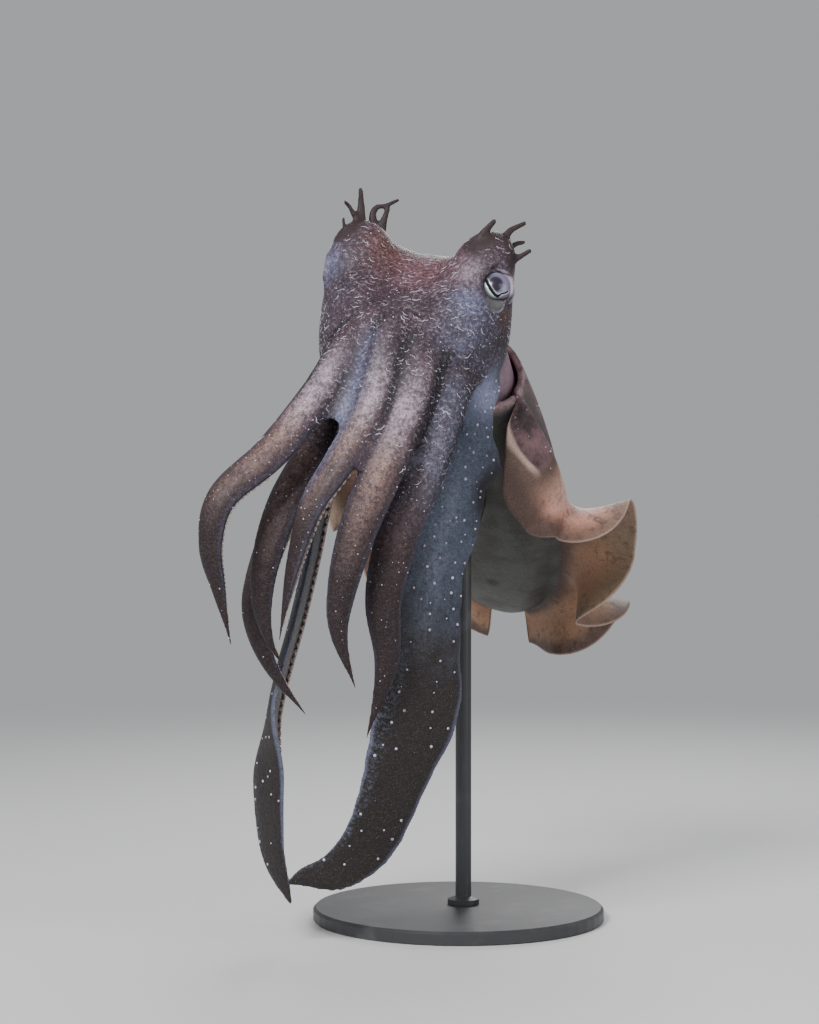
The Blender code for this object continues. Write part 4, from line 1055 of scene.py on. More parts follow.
def on_neck(points, normals, away_from_arm):
    """1 on the neck between the head and the collar, where no arm covers it."""
    start = np.array(head_frame @ Vector((0.004, 0, -0.010)))
    end = np.array(mantle_frame @ Vector((-COLLAR_DEPTH - 0.004, 0, 0.002)))
    way = (end - start) / np.linalg.norm(end - start)
    down = (points - start) @ way / np.linalg.norm(end - start)
    left, up = (np.array(mantle_frame.to_3x3() @ Vector(axis)) for axis in ((0, 1, 0), (0, 0, 1)))
    offset = points - start
    round_it = np.hypot((offset @ left) / 0.054, (offset @ up) / 0.034)
    near = np.clip(1 - np.abs(round_it - 1) / 0.30, 0, 1) ** 0.4
    return near * np.clip((down - 0.30) / 0.25, 0, 1) * np.clip((away_from_arm - 1.3) / 0.5, 0, 1)


def from_eyes(points):
    """Each point's place in millimetres from the nearer eye: across, up and out along its gaze."""
    places = []
    for side in (1, -1):
        turn = np.array(eye_frame(side).to_3x3())
        places.append((points - np.array(eye_place(side))) @ turn * (1000 * side, 1000, 1000))
    left_nearer = np.linalg.norm(places[0], axis=1) < np.linalg.norm(places[1], axis=1)
    return np.where(left_nearer[:, None], places[0], places[1])


def mark_head_skin(skin, dots):
    """Keeps on the skin what its colours and its small ridges follow."""
    points = points_of(skin.data)
    normals = normals_of(skin.data)
    rows, broad, outer = nearest_rows(points)
    along = rows[:, 1]
    local = (points - np.array(HEAD_CENTRE)) @ np.array(head_turn)
    facing = mix(1.0, (normals * rows[:, 8:11]).sum(axis=1), np.clip(along / 0.08, 0, 1))
    underneath = np.clip((-0.020 - local[:, 2]) / 0.012, 0, 1) * np.clip((0.03 - along) / 0.03, 0, 1)
    facing = facing * (1 - 1.4 * underneath)
    neck = on_neck(points, normals, np.abs(outer) / rows[:, 12])
    facing = mix(facing, 1.0, neck)
    dot_tree = KDTree(len(dots))
    for number, place in enumerate(dots):
        dot_tree.insert(place, number)
    dot_tree.balance()
    from_dot = np.array([dot_tree.find(p)[2] for p in points])
    store(skin, "dot_ring", np.clip(1 - np.abs(from_dot - 0.0014) / 0.0013, 0, 1))
    store(skin, "neck", neck)
    across = np.abs(broad) / rows[:, 11]
    # Painted shade: how deep each point lies in a hollow of the skin, which darkens it
    smooth = relaxed(points, edges_of(skin.data), np.ones(len(points)), HOLLOW_ROUNDS)
    hollow_shade = ((smooth - points) * normals).sum(axis=1) * 1000
    eye_left, eye_right = (np.linalg.norm(points - np.array(eye_place(side)), axis=1) for side in (1, -1))
    eye_away = np.minimum(eye_left, eye_right)
    crest = crest_nearness(points, 0.004, 0.019) ** 1.3
    web = np.zeros(len(points))
    for place in web_line():
        away = np.linalg.norm(points - np.array(place), axis=1)
        web = np.maximum(web, np.exp(-(away / 0.0085) ** 2))
    right_centre, right_radius, right_strength = RIGHT_FLANK_PALE
    right = right_strength * np.exp(-(np.linalg.norm(local - np.array(right_centre), axis=1) / right_radius) ** 2)
    one_sided = np.where(local[:, 1] > 0, 1.0, RIGHT_SIDE_SHADE_SHARE)
    # Pale cheeks and web, with the painted highlight at the broad arm's root
    pale = np.maximum.reduce([spots(local, PALE_AND_HIGHLIGHT_SPOTS) * one_sided, web, right])
    saddle = np.exp(-((local[:, 0] + 0.006) / 0.026) ** 2 - ((local[:, 1] + 0.004) / 0.036) ** 2)
    flank = np.exp(-((local[:, 0] + 0.014) / 0.018) ** 2 - ((local[:, 1] + 0.030) / 0.012) ** 2)
    above = np.clip((local[:, 2] - 0.004) / 0.008, 0, 1)
    # Painted shade down the grooves between neighbouring arms
    groove_shade = (np.clip((across - 0.66) / 0.30, 0, 1) * np.clip((along - 0.025) / 0.05, 0, 1)
              * (1 - np.clip((along - 0.30) / 0.12, 0, 1)) * np.clip(facing / 0.3, 0, 1)
              * (1 - rows[:, 13]) * (1 - web))
    store(skin, "groove_shade", groove_shade * (1 - neck))
    crown_line = np.clip(1 - across / 0.85, 0, 1) ** 0.8 * np.clip((along - 0.12) / 0.12, 0, 1)
    crown_line *= (1 - np.clip((along - 0.42) / 0.30, 0, 1)) * np.clip(facing / 0.4, 0, 1) * (1 - rows[:, 13])
    crown_line = crown_line * (1 - 0.80 * (rows[:, 0] == list(ARMS).index("arm_left_3")))
    store(skin, "sheen", np.maximum(crown_line, spots(local, TURRET_SHEEN) * one_sided))
    edge = np.clip((across - 0.80) / 0.14, 0, 1) * np.clip(facing / 0.3, 0, 1) * np.clip((along - 0.3) / 0.3, 0, 1)
    shares = np.array([[edge_share(arm, s, way) for way in (1, -1)] for s, arm in
                       ((row[1], list(ARMS.values())[int(row[0])]) for row in rows)])
    sheet_across = broad / rows[:, 11] / np.where(broad > 0, shares[:, 0], shares[:, 1])
    margin = np.clip((np.abs(sheet_across) - 0.86) / 0.08, 0, 1) * np.clip((along - 0.45) / 0.15, 0, 1)
    store(skin, "edge", mix(edge * 0.3, margin, rows[:, 13]))
    fringe = np.clip((-sheet_across - 0.42) / 0.25, 0, 1) * np.clip((along - 0.45) / 0.15, 0, 1) * rows[:, 13]
    store(skin, "fringe", fringe)
    # Painted shade under the lobe of the left broad arm, where it curls back
    under_lobe_shade = (np.clip((sheet_across - 0.10) / 0.65, 0, 1) * np.exp(-((along - 0.245) / 0.055) ** 2)
                  * rows[:, 13] * (local[:, 1] > 0))
    store(skin, "under_lobe_shade", np.minimum(1, under_lobe_shade * 1.4))
    cool_arm = (rows[:, 0] == list(ARMS).index("arm_left_3")) * np.clip((along - 0.05) / 0.08, 0, 1)
    cool_arm = cool_arm * (1 - np.clip((along - 0.32) / 0.20, 0, 1))
    store(skin, "cool", np.maximum(spots(local, COOL_SPOTS) * one_sided, cool_arm * 0.9))
    store(skin, "shine", spots(local, SHINE_SPOTS) * one_sided)
    banner_top = np.clip(1 - np.abs(broad / rows[:, 11] + 0.30) / 0.42, 0, 1) * np.clip((along - 0.20) / 0.08, 0, 1)
    store(skin, "banner_pale", banner_top * (1 - np.clip((along - 0.40) / 0.16, 0, 1)) * rows[:, 13])
    store(skin, "along", along)
    store(skin, "facing", facing)
    store(skin, "hollow_shade", hollow_shade)
    store(skin, "pale", pale)
    # The painted shade on the right turret joins the dark places
    turret_centre, turret_radius, turret_strength = RIGHT_TURRET_SHADE
    turret_away = np.linalg.norm(local - np.array(turret_centre), axis=1)
    turret_shade = turret_strength * np.exp(-(turret_away / turret_radius) ** 2)
    store(skin, "dark", np.maximum(spots(local, DARK_SPOTS), turret_shade))
    store(skin, "saddle", saddle * above)
    store(skin, "flank", flank * above)
    store(skin, "crest", crest)
    store(skin, "banner", rows[:, 13] * np.clip(along / 0.06, 0, 1) * (1 - neck))
    store(skin, "level", local[:, 0] * 1000)
    about = from_eyes(points)
    across_eye, up_eye, near_eye = about[:, 0], about[:, 1], np.clip((0.026 - eye_away) / 0.003, 0, 1) * (about[:, 2] > 5)
    # Painted shade: a dark ring round the eye's opening, wider on its outer side and below
    outer_rim = np.maximum(np.clip((2.0 - across_eye) / 6, 0, 1), np.clip((-up_eye - 4.0) / 4, 0, 1))
    close = np.clip(1 - (eye_away - 0.0150) / 0.0022, 0, 1)
    store(skin, "rim", close * mix(0.20, 1.0, outer_rim))
    store(skin, "lid", np.clip(1 - (eye_away - 0.0172) / 0.0014, 0, 1) * (1 - outer_rim) * near_eye)
    # Painted shade: a dark line under the brow fold, over the eye
    brow = np.abs(up_eye - 11.3 + 0.36 * across_eye)
    brow_length = np.clip((across_eye + 5.5) / 2, 0, 1) * np.clip((12.5 - across_eye) / 2, 0, 1)
    store(skin, "brow", np.clip(1.35 - brow / 0.85, 0, 1) * brow_length * near_eye)
    bowl = np.hypot((across_eye + 3.0) / 7.0, (up_eye + 13.4) / 5.6)
    store(skin, "pouch", np.clip((1.06 - bowl) / 0.16, 0, 1) * near_eye)
    # Painted highlight along the lower rim of the lid's pouch
    bowl_edge_highlight = np.clip(1 - np.abs(bowl - 1.02) / 0.13, 0, 1) * np.clip((-up_eye - 13.0) / 2, 0, 1)
    store(skin, "bowl_edge_highlight", bowl_edge_highlight * near_eye)
    store(skin, "blush", np.exp(-np.hypot(across_eye - 8.0, up_eye + 21.0) ** 2 / 46) * (about[:, 2] > 0))
    outside = np.clip((facing + 0.1) / 0.4, 0, 1)
    near_head = 1 - np.clip((along - 0.22) / 0.30, 0, 1)
    clear = (1 - 0.8 * crest) * (eye_away > 0.0230) * (crest_nearness(points) < 0.3)
    thick_and_thin = np.array([noise.noise(Vector(p) * CLUSTER_SCALE) for p in points])
    thick_and_thin = np.clip(0.62 + 0.9 * thick_and_thin, 0.12, 1)
    bare = ((1 - 0.75 * np.clip(web, 0, 1)) * (1 - 0.6 * pale) * (1 - neck)
            * (1 - rows[:, 13] * np.clip(along / 0.06, 0, 1)))
    store(skin, "ridge_density", clear * near_head * outside * thick_and_thin * bare)
    in_rows = np.clip(along / 0.08, 0, 1) * (1 - np.clip((along - 0.40) / 0.40, 0, 1) * 0.8)
    sparse = mix(1.0, 0.06, rows[:, 13] * np.clip(along / 0.06, 0, 1)) * (1 - neck)
    store(skin, "dot_density", clear * outside * np.where(along < 0.08, np.maximum(0.55, in_rows), in_rows) * sparse)
    number = rows[:, 0]
    turn = np.arctan2(outer / rows[:, 12], broad / rows[:, 11]) / (2 * math.pi) + 0.5
    around = np.arctan2(local[:, 1], local[:, 2]) / (2 * math.pi) + 0.5
    on_arm = along > 0.001
    u = np.where(on_arm, 0.50 + 0.06 * number + 0.05 * turn, 0.02 + 0.44 * around)
    v = np.where(on_arm, 0.02 + 0.90 * along, np.clip((local[:, 0] + 0.09) / 0.2, 0.02, 0.95))
    store(skin, "bake_place", np.stack([u, v, np.zeros(len(points))], axis=1), "FLOAT_VECTOR")


def head_finish():
    made = Finish("mottled_skin", Specular_IOR_Level=0.28, Coat_Weight=0.05, Coat_Roughness=0.30)
    along, facing, hollow_shade = made.read("along"), made.read("facing"), made.read("hollow_shade")
    saddle, flank, crest, banner = (made.read(name) for name in ("saddle", "flank", "crest", "banner"))
    pale, dark, rim, groove_shade = (made.read(name) for name in ("pale", "dark", "rim", "groove_shade"))
    pouch, neck, sheen, edge = (made.read(name) for name in ("pouch", "neck", "sheen", "edge"))
    dot_ring, banner_pale = made.read("dot_ring"), made.read("banner_pale")
    fringe, under_lobe_shade, cool, shine = (made.read(name) for name in ("fringe", "under_lobe_shade", "cool", "shine"))
    blotch = made.noise(46.0, 4.0, 0.62)
    mottle = made.noise(210.0, 3.0, 0.6)
    grain = made.noise(1150.0, 2.0, 0.6)
    speckle = made.noise(430.0, 3.0, 0.7)
    cell = made.node("ShaderNodeTexVoronoi", {}, {"Vector": made.place(), "Scale": 820.0})
    colour = made.blend(made.step(blotch, 0.28, 0.72), BROWN_DARK, BROWN_LIGHT)
    colour = made.blend(made.step(mottle, 0.45, 0.75) * 0.5, colour, PURPLE)
    colour = made.blend(cool * made.step(blotch + mottle * 0.5, 0.45, 0.85), colour, COOL)
    colour = made.blend(made.step(along, 0.30, 0.72) * 0.92, colour, TIP_BROWN)
    sheet = made.blend(made.step(along + blotch * 0.3, 0.50, 0.74), BANNER_GREY, BANNER_BROWN)
    sheet = made.blend(banner_pale * made.step(mottle, 0.30, 0.62), sheet, BANNER_PALE)
    sheet = made.blend(made.step(mottle, 0.45, 0.75) * 0.45, sheet, BROWN_DARK)
    sheet = made.blend(dot_ring * made.step(along, 0.28, 0.50) * 0.9, sheet, SHADE_AND_MARK_BLACK)
    bands = (along * 620.0 + blotch * 30.0).sine() * 0.5 + 0.5
    sheet = made.blend(fringe * bands * made.step(mottle, 0.35, 0.65) * 0.40, sheet, BANNER_PALE)
    sheen_tone = made.blend(made.step(along, 0.26, 0.44), SHEEN, WARM_SHEEN)
    colour = made.blend(sheen * (0.24 + made.step(mottle * 1.2 + blotch, 0.72, 1.40) * 0.60), colour, sheen_tone)
    colour = made.blend(banner * 0.95, colour, sheet)
    colour = made.blend(edge * 0.35, colour, LAVENDER)
    colour = made.blend(shine * (0.35 + mottle * 0.6), colour, SHINE)
    colour = made.blend(made.step(0 - facing, 0.05, 0.55) * 0.8, colour, INNER_GREY)
    colour = made.blend(saddle * (0.50 + mottle * 0.8), colour, SADDLE_PINK)
    colour = made.blend(flank * 0.75, colour, SADDLE_ORANGE)
    colour = made.blend(pale * (0.10 + mottle * 1.1), colour, LAVENDER)
    # Painted shade in the grooves between the arms
    colour = made.blend(groove_shade * (0.45 + mottle), colour, SHADE_AND_MARK_BLACK)
    colour = made.blend(dark * (0.60 + mottle * 0.6), colour, BROWN_DARK)
    colour = made.blend(made.step(speckle, 0.47, 0.61) * (0.54 - banner * 0.34), colour, BROWN_DARK)
    flecks = made.step(0.5 - speckle, 0.02, 0.16) * (1 - made.step(along, 0.30, 0.70) * 0.7)
    colour = made.blend(flecks * (0.18 - banner * 0.10), colour, sheen_tone)
    colour = made.blend(made.step(cell, 0.55, 0.20) * 0.42, colour, SHADE_AND_MARK_BLACK)
    colour = made.blend(neck * (0.55 + mottle * 0.6), colour, NECK_PINK)
    colour = made.blend(made.step(grain, 0.54, 0.74) * 0.20, colour, LAVENDER)
    # Painted shade in the skin's hollows
    colour = made.blend(made.step(hollow_shade, 0.10, 0.95) * (1 - pale) * 0.92, colour, SHADE_AND_MARK_BLACK)
    colour = made.blend(made.step(crest + mottle * 0.35 - 0.17, 0.10, 0.60) * 0.95, colour, CREST_BROWN)
    # Painted shade under the broad arm's lobe
    colour = made.blend(under_lobe_shade * 0.95, colour, SHADE_AND_MARK_BLACK)
    colour = made.blend(made.read("blush") * (0.2 + mottle * 0.6), colour, SADDLE_ORANGE)
    colour = made.blend(pouch * 0.9, colour, POUCH_GREY)
    # Painted highlight on the pouch's rim
    colour = made.blend(made.read("bowl_edge_highlight") * 0.75, colour, SHINE)
    colour = made.blend(made.read("lid") * 0.55, colour, SHEEN)
    # Painted shade round the eye's opening and under the brow fold
    colour = made.blend(rim * 0.9, colour, SHADE_AND_MARK_BLACK)
    colour = made.blend(made.read("brow") * 0.9, colour, SHADE_AND_MARK_BLACK)
    made.set(Base_Color=colour)
    wave = (made.read("level") * 1.9 + made.noise(60.0, 3.0) * 19.0).sine()
    wrinkle = wave * saddle * 0.22
    made.set(Roughness=0.42 + mottle * 0.22 + crest * 0.10)
    made.bump(grain * 0.40 + speckle * 0.5 + mottle * 1.1 + wrinkle + fringe * bands * 0.35, 0.0012, 0.85)
    return made.material


dot_places, dot_ways, dot_sizes = banner_dots()
mark_head_skin(head_skin, dot_places)
head_skin.data.materials.clear()
head_skin.data.materials.append(head_finish())
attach(head_skin, body)
ARM_NODES = [f"{arm}_{part}" for arm in ARMS for part in ("base", "middle", "tip")]
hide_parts("head", "arm_crown", *ARM_NODES)


# The finish of the mantle and fins. The back is dark and blotched, the belly a smooth greenish grey with a spot of
# painted shade for a dent, and the thin fins are peach with a narrow pale margin, a painted glow on the crest, and
# painted shade beyond the front fold with a painted highlight along it.

BACK_DARK = (0.036, 0.022, 0.028)
BACK_LIGHT = (0.200, 0.110, 0.122)
BELLY_GREY = (0.072, 0.080, 0.074)
BELLY_DARK = (0.040, 0.040, 0.036)
FIN_PEACH = (0.720, 0.340, 0.245)
FIN_OLIVE = (0.180, 0.118, 0.088)
FIN_BROWN = (0.062, 0.034, 0.028)
FIN_MARGIN = (0.560, 0.400, 0.340)
COLLAR_PINK = (0.380, 0.240, 0.260)
COLLAR_RED = (0.140, 0.030, 0.034)
# Stations along the mantle where its front fold lies and where the fin's crest, lit by a painted glow, rises
FRONT_FOLD = (0.145, 0.195)
FOLD_REACH = 0.17
# Painted shade of a small dent in the belly, round this point
BELLY_DENT_SHADE = (0.0294, 0.1034, 0.2517)
FIN_GOLD = (0.235, 0.170, 0.105)
FIN_FAWN = (0.430, 0.235, 0.140)
GLOW_START, GLOW_END = (0.18, 0.31), (0.46, 0.54)


def mantle_finish():
    made = Finish("smooth_mantle_skin", Specular_IOR_Level=0.28, Coat_Weight=0.04, Coat_Roughness=0.34)
    station, span, rise, inside = (made.read(name) for name in ("station", "span", "rise", "inside"))
    blotch = made.noise(34.0, 4.0, 0.62)
    mottle = made.noise(160.0, 3.0, 0.6)
    grain = made.noise(1250.0, 2.0, 0.6)
    cell = made.node("ShaderNodeTexVoronoi", {}, {"Vector": made.place(), "Scale": 700.0})
    back = made.blend(made.step(blotch + mottle * 0.4, 0.52, 0.86), BACK_DARK, BACK_LIGHT)
    belly = made.blend(made.step(blotch, 0.38, 0.68), BELLY_GREY, BELLY_DARK)
    belly = made.blend(made.step(mottle, 0.50, 0.85) * 0.5, belly, BELLY_DARK)
    from_dent = made.node("ShaderNodeVectorMath", {"operation": "DISTANCE"}, [made.place(), BELLY_DENT_SHADE], output=1)
    belly = made.blend((1 - made.step(from_dent + blotch * 0.004, 0.003, 0.011)) * 0.9, belly, SHADE_AND_MARK_BLACK)
    colour = made.blend(made.step(rise, -0.16, 0.30), belly, back)
    collar = (1 - made.step(station, 0.004, 0.045)) * made.step(mottle + blotch * 0.5, 0.45, 0.85)
    colour = made.blend(collar * 0.9, colour, COLLAR_PINK)
    sheet = made.step(span + blotch * 0.70 - 0.35, 0.10, 0.90)
    fin = made.blend(sheet, FIN_BROWN, made.blend(made.step(station, 0.46, 0.58) * 0.7, FIN_OLIVE, FIN_GOLD))
    # Painted glow: the fin's crest lightened to peach and pale
    glow = made.step(station, *GLOW_START) * (1 - made.step(station, *GLOW_END))
    glow = glow * (1 - made.step(span + mottle * 0.3 - 0.15, 0.60, 0.90) * 0.85)
    sideways = made.node("ShaderNodeSeparateXYZ", {}, [made.place()])
    glow = glow * (0.25 + made.step(sideways, -0.06, -0.02) * 0.75)
    tips = made.step(station, 0.68, 0.78) * made.step(span, 0.45, 0.95) * 0.50
    fawn = made.step(station, 0.52, 0.62) * made.step(span, 0.06, 0.38) * (1 - made.step(span, 0.55, 0.92))
    fin = made.blend(fawn * (0.45 + blotch * 0.6), fin, FIN_FAWN)
    fin = made.blend(tips * (1 - glow), fin, made.blend(made.step(station, 0.66, 0.80), FIN_PEACH, FIN_FAWN))
    fin = made.blend(glow * 0.92, fin, FIN_PEACH)
    fin = made.blend(glow * (1 - made.step(span, 0.40, 0.75)) * 0.6, fin, FIN_MARGIN)
    fin = made.blend(made.step(mottle + blotch * 0.5, 0.72, 1.02) * 0.65, fin, FIN_BROWN)
    frayed = made.step(span + blotch * 0.5 - 0.25, 0.70, 0.96) * made.step(station, 0.66, 0.80)
    fin = made.blend(frayed * 0.75, fin, BACK_DARK)
    rays = (station * 620.0 + blotch * 9.0).sine()
    fin = made.blend((0.5 + rays * 0.5) * made.step(span, 0.15, 0.7) * 0.025, fin, FIN_MARGIN)
    front = (1 - made.step(station, *FRONT_FOLD)) * made.step(sideways, -0.06, -0.02)
    before_end = station.sum("MAXIMUM", 1 - station / FOLD_REACH, 0.0)
    beyond_fold = span - (before_end ** 1.2 * 0.58 + 0.55)
    # Painted shade: the front of the fin beyond the fold darkened to brown
    fin = made.blend((1 - made.step(station, 0.33, 0.45)) * made.step(beyond_fold, 0.02, 0.30) * 0.82, fin, FIN_BROWN)
    fin = made.blend(front * (1 - made.step(beyond_fold, -0.03, 0.01)), fin, back)
    # Painted highlight: a pale line along the fold at the fin's front
    fold_edge_highlight = beyond_fold * (0.40 + made.step(station, 0.06, 0.14) * 0.60)
    fold_edge_highlight = made.step(fold_edge_highlight, -0.03, 0.01) * (1 - made.step(fold_edge_highlight, 0.02, 0.09)) * front
    fin = made.blend(fold_edge_highlight * 0.95, fin, FIN_MARGIN)
    fin = made.blend(made.step(span, 0.970, 0.997) * (0.05 + made.step(station, 0.25, 0.45) * 0.45), fin, FIN_MARGIN)
    colour = made.blend(made.step(span, 0.01, 0.10), colour, fin)
    colour = made.blend(made.step(cell, 0.50, 0.18) * 0.32, colour, BACK_DARK)
    colour = made.blend(made.step(grain, 0.50, 0.74) * 0.16, colour, FIN_MARGIN)
    colour = made.blend(made.step(inside, 0.30, 0.80), colour, COLLAR_RED)
    made.set(Base_Color=colour)
    made.set(Roughness=0.44 + mottle * 0.22)
    made.bump(grain * 0.35 + mottle * 0.8 + rays * made.step(span, 0.1, 0.4) * 0.03, 0.0009, 0.7)
    return made.material


mantle_skin.data.materials.clear()
mantle_skin.data.materials.append(mantle_finish())
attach(mantle_skin, body)
FIN_NODES = [f"fin_{side}_{part}" for side in ("left", "right") for part in ("fore", "middle", "hind")]
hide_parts("mantle", *FIN_NODES)


# The eyes. Each is a wet, silvery ball whose pupil closes to a bent slit in daylight, under a soft flap
# of the iris that hangs over the slit's middle.

EYE_RINGS, EYE_SEGMENTS = 96, 128
EYE_SILVER = (0.660, 0.790, 0.810)
EYE_WHITE = (0.780, 0.840, 0.850)
EYE_LAVENDER = (0.200, 0.180, 0.285)
EYE_VIOLET = (0.020, 0.013, 0.030)
EYE_GREENISH = (0.150, 0.170, 0.140)
EYE_BLACK = (0.002, 0.002, 0.003)
# The slit's middle line in millimetres on the eye, from its outer end; then its half breadth
SLIT = [(-7.9, 4.4), (-7.2, 1.2), (-5.6, -2.5), (-4.0, -4.9), (-2.1, -6.8), (-0.2, -7.8), (1.3, -7.0),
        (2.6, -5.9), (4.2, -5.6), (5.8, -5.0), (7.4, -3.8)]
SLIT_HALF = 0.90
SLIT_DEPTH = 0.0003
FLAP_PLACE = (-1.6, 1.0)
FLAP_SIZE = (5.0, 5.6)
FLAP_SWELL = 0.0004


def slit_distance(u, v):
    """How far, in millimetres, a point on the eye is above the slit's middle line, below it if negative."""
    nearest = np.full(len(u), np.inf)
    signed = np.zeros(len(u))
    for (x0, y0), (x1, y1) in zip(SLIT, SLIT[1:]):
        run, climb = x1 - x0, y1 - y0
        share = np.clip(((u - x0) * run + (v - y0) * climb) / (run**2 + climb**2), 0, 1)
        away = np.hypot(u - x0 - share * run, v - y0 - share * climb)
        side = np.where(run * (v - y0) - climb * (u - x0) < 0, -1.0, 1.0)
        signed = np.where(away < nearest, away * side, signed)
        nearest = np.minimum(nearest, away)
    return signed


def make_eye(name, side):
    centre = np.array(eye_place(side))
    across, up, axis = (np.array(way) for way in eye_turn(side))
    points = [(0.0, 0.0, 1.0)]
    for r in range(1, EYE_RINGS):
        tilt = math.pi * r / EYE_RINGS
        for k in range(EYE_SEGMENTS):
            turn = 2 * math.pi * k / EYE_SEGMENTS
            points.append((math.sin(tilt) * math.cos(turn), math.sin(tilt) * math.sin(turn), math.cos(tilt)))
    points.append((0.0, 0.0, -1.0))
    unit = np.array(points)
    faces = []
    for k in range(EYE_SEGMENTS):
        j = (k + 1) % EYE_SEGMENTS
        faces.append((0, 1 + k, 1 + j))
        for r in range(EYE_RINGS - 2):
            low, high = 1 + r * EYE_SEGMENTS, 1 + (r + 1) * EYE_SEGMENTS
            faces.append((low + k, high + k, high + j, low + j))
        last = 1 + (EYE_RINGS - 2) * EYE_SEGMENTS
        faces.append((last + j, last + k, len(points) - 1))
    u, v = unit[:, 0] * EYE_RADIUS * 1000 * side, unit[:, 1] * EYE_RADIUS * 1000
    above = slit_distance(u, v)
    slit_half = SLIT_HALF * mix(1.0, 0.55, np.clip(u / 2, 0, 1))
    in_slit = np.clip(1.4 - np.abs(above) / slit_half, 0, 1) * (unit[:, 2] > 0)
    # Painted glints: a white line along both sides of the slit
    slit_glint = np.clip(1 - np.abs(np.abs(above) / slit_half - 1.75) / 0.40, 0, 1) * (unit[:, 2] > 0)
    flap = np.exp(-((u - FLAP_PLACE[0]) / FLAP_SIZE[0]) ** 2 - ((v - FLAP_PLACE[1]) / FLAP_SIZE[1]) ** 2)
    flap *= (unit[:, 2] > 0) * np.clip(above / 0.8, 0, 1)
    reach = EYE_RADIUS * 0.996 - SLIT_DEPTH * in_slit + FLAP_SWELL * flap
    placed = centre + (unit[:, :1] * across + unit[:, 1:2] * up + unit[:, 2:] * axis) * reach[:, None]
    eye = skin_object(name, placed, faces)
    face_outwards(eye)
    store(eye, "slit", in_slit)
    store(eye, "slit_glint", slit_glint)
    store(eye, "over_slit", above)
    store(eye, "flap", flap)
    store(eye, "eye_across", u)
    store(eye, "eye_up", v)
    store(eye, "eye_front", unit[:, 2])
    return eye


def eye_finish():
    made = Finish("silvery_eye", Coat_Roughness=0.05, Specular_IOR_Level=0.30)
    above, slit, flap, across, up = (made.read(name) for name in
                                     ("over_slit", "slit", "flap", "eye_across", "eye_up"))
    flecks = made.noise(900.0, 3.0, 0.6)
    shade = made.noise(260.0, 3.0, 0.6)
    colour = made.blend(made.step(across, -3.0, 6.0), EYE_SILVER, EYE_LAVENDER)
    colour = made.blend(made.step(above, 0.2, 1.2) * 0.85, colour, EYE_LAVENDER)
    colour = made.blend(made.step(flap, 0.06, 0.55) * 0.97, colour, EYE_VIOLET)
    colour = made.blend(made.read("slit_glint") * 0.7, colour, EYE_WHITE)
    colour = made.blend(1 - made.step(up, -10.0, -8.0), colour, EYE_GREENISH)
    colour = made.blend(made.step(flecks, 0.55, 0.75) * 0.35, colour, EYE_VIOLET)
    front = made.read("eye_front")
    # Painted shade round the edge of the ball's opening, deepest on its shaded side
    shaded_side = 1 - made.step(across + up * 0.5, -3.0, 5.0) * 0.85
    colour = made.blend((1 - made.step(front, 0.80, 0.90)) * shaded_side * 0.9, colour, EYE_VIOLET)
    colour = made.blend((1 - made.step(front, 0.70, 0.78)) * shaded_side, colour, EYE_BLACK)
    colour = made.blend(made.step(slit, 0.25, 0.55), colour, EYE_BLACK)
    made.set(Base_Color=colour)
    in_slit = made.step(slit, 0.25, 0.55)
    made.set(Metallic=0.18 - in_slit * 0.18, Roughness=0.28 + in_slit * 0.6, Coat_Weight=0.30 - in_slit * 0.30)
    made.bump(shade, 0.0002, 0.3)
    return made.material


wet_eye = eye_finish()
for name, side in (("eye_left", 1), ("eye_right", -1)):
    eye = make_eye(f"{name}_ball", side)
    eye.data.materials.append(wet_eye)
    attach(eye, body)
    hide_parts(name)


# The mouth and the funnel. Between the arms' roots a ring of puckered lips closes the mouth,
# and under the neck the funnel, a soft tube with a thin lip, points forward from inside the collar.

MOUTH_PLACE = (0.086, 0.0, -0.022)
MOUTH_PROFILE = [(0.009, -0.010), (0.0145, -0.004), (0.0155, 0.003), (0.012, 0.008),
                 (0.0075, 0.008), (0.0045, 0.002)]
LIP_FOLDS = 28
LIP_FOLD_DEPTH = 0.10
FUNNEL = [((-0.0145, -0.0550, 0.3880), 0.0230, 0.0080), ((-0.0175, -0.0640, 0.3790), 0.0235, 0.0110),
          ((-0.0205, -0.0740, 0.3665), 0.0190, 0.0120), ((-0.0230, -0.0830, 0.3530), 0.0140, 0.0110),
          ((-0.0245, -0.0900, 0.3410), 0.0115, 0.0095), ((-0.0243, -0.0893, 0.3422), 0.0090, 0.0070),
          ((-0.0230, -0.0830, 0.3530), 0.0080, 0.0060)]
LIP_PINK = (0.420, 0.260, 0.240)
LIP_SHADE = (0.120, 0.055, 0.050)
FUNNEL_PALE = (0.260, 0.270, 0.300)
FUNNEL_DARK = (0.110, 0.085, 0.095)


def through(values, count):
    """Blends a short list of rows of numbers smoothly into count rows."""
    table = np.array(values)
    rows = []
    for n in range(count):
        spot = (len(table) - 1) * n / (count - 1)
        k = min(int(spot), len(table) - 2)
        u = spot - k
        a, b, c, d = (table[min(max(j, 0), len(table) - 1)] for j in (k - 1, k, k + 1, k + 2))
        rows.append(0.5 * (2 * b + (c - a) * u + (2 * a - 5 * b + 4 * c - d) * u**2
                           + (3 * b - 3 * c + d - a) * u**3))
    return rows


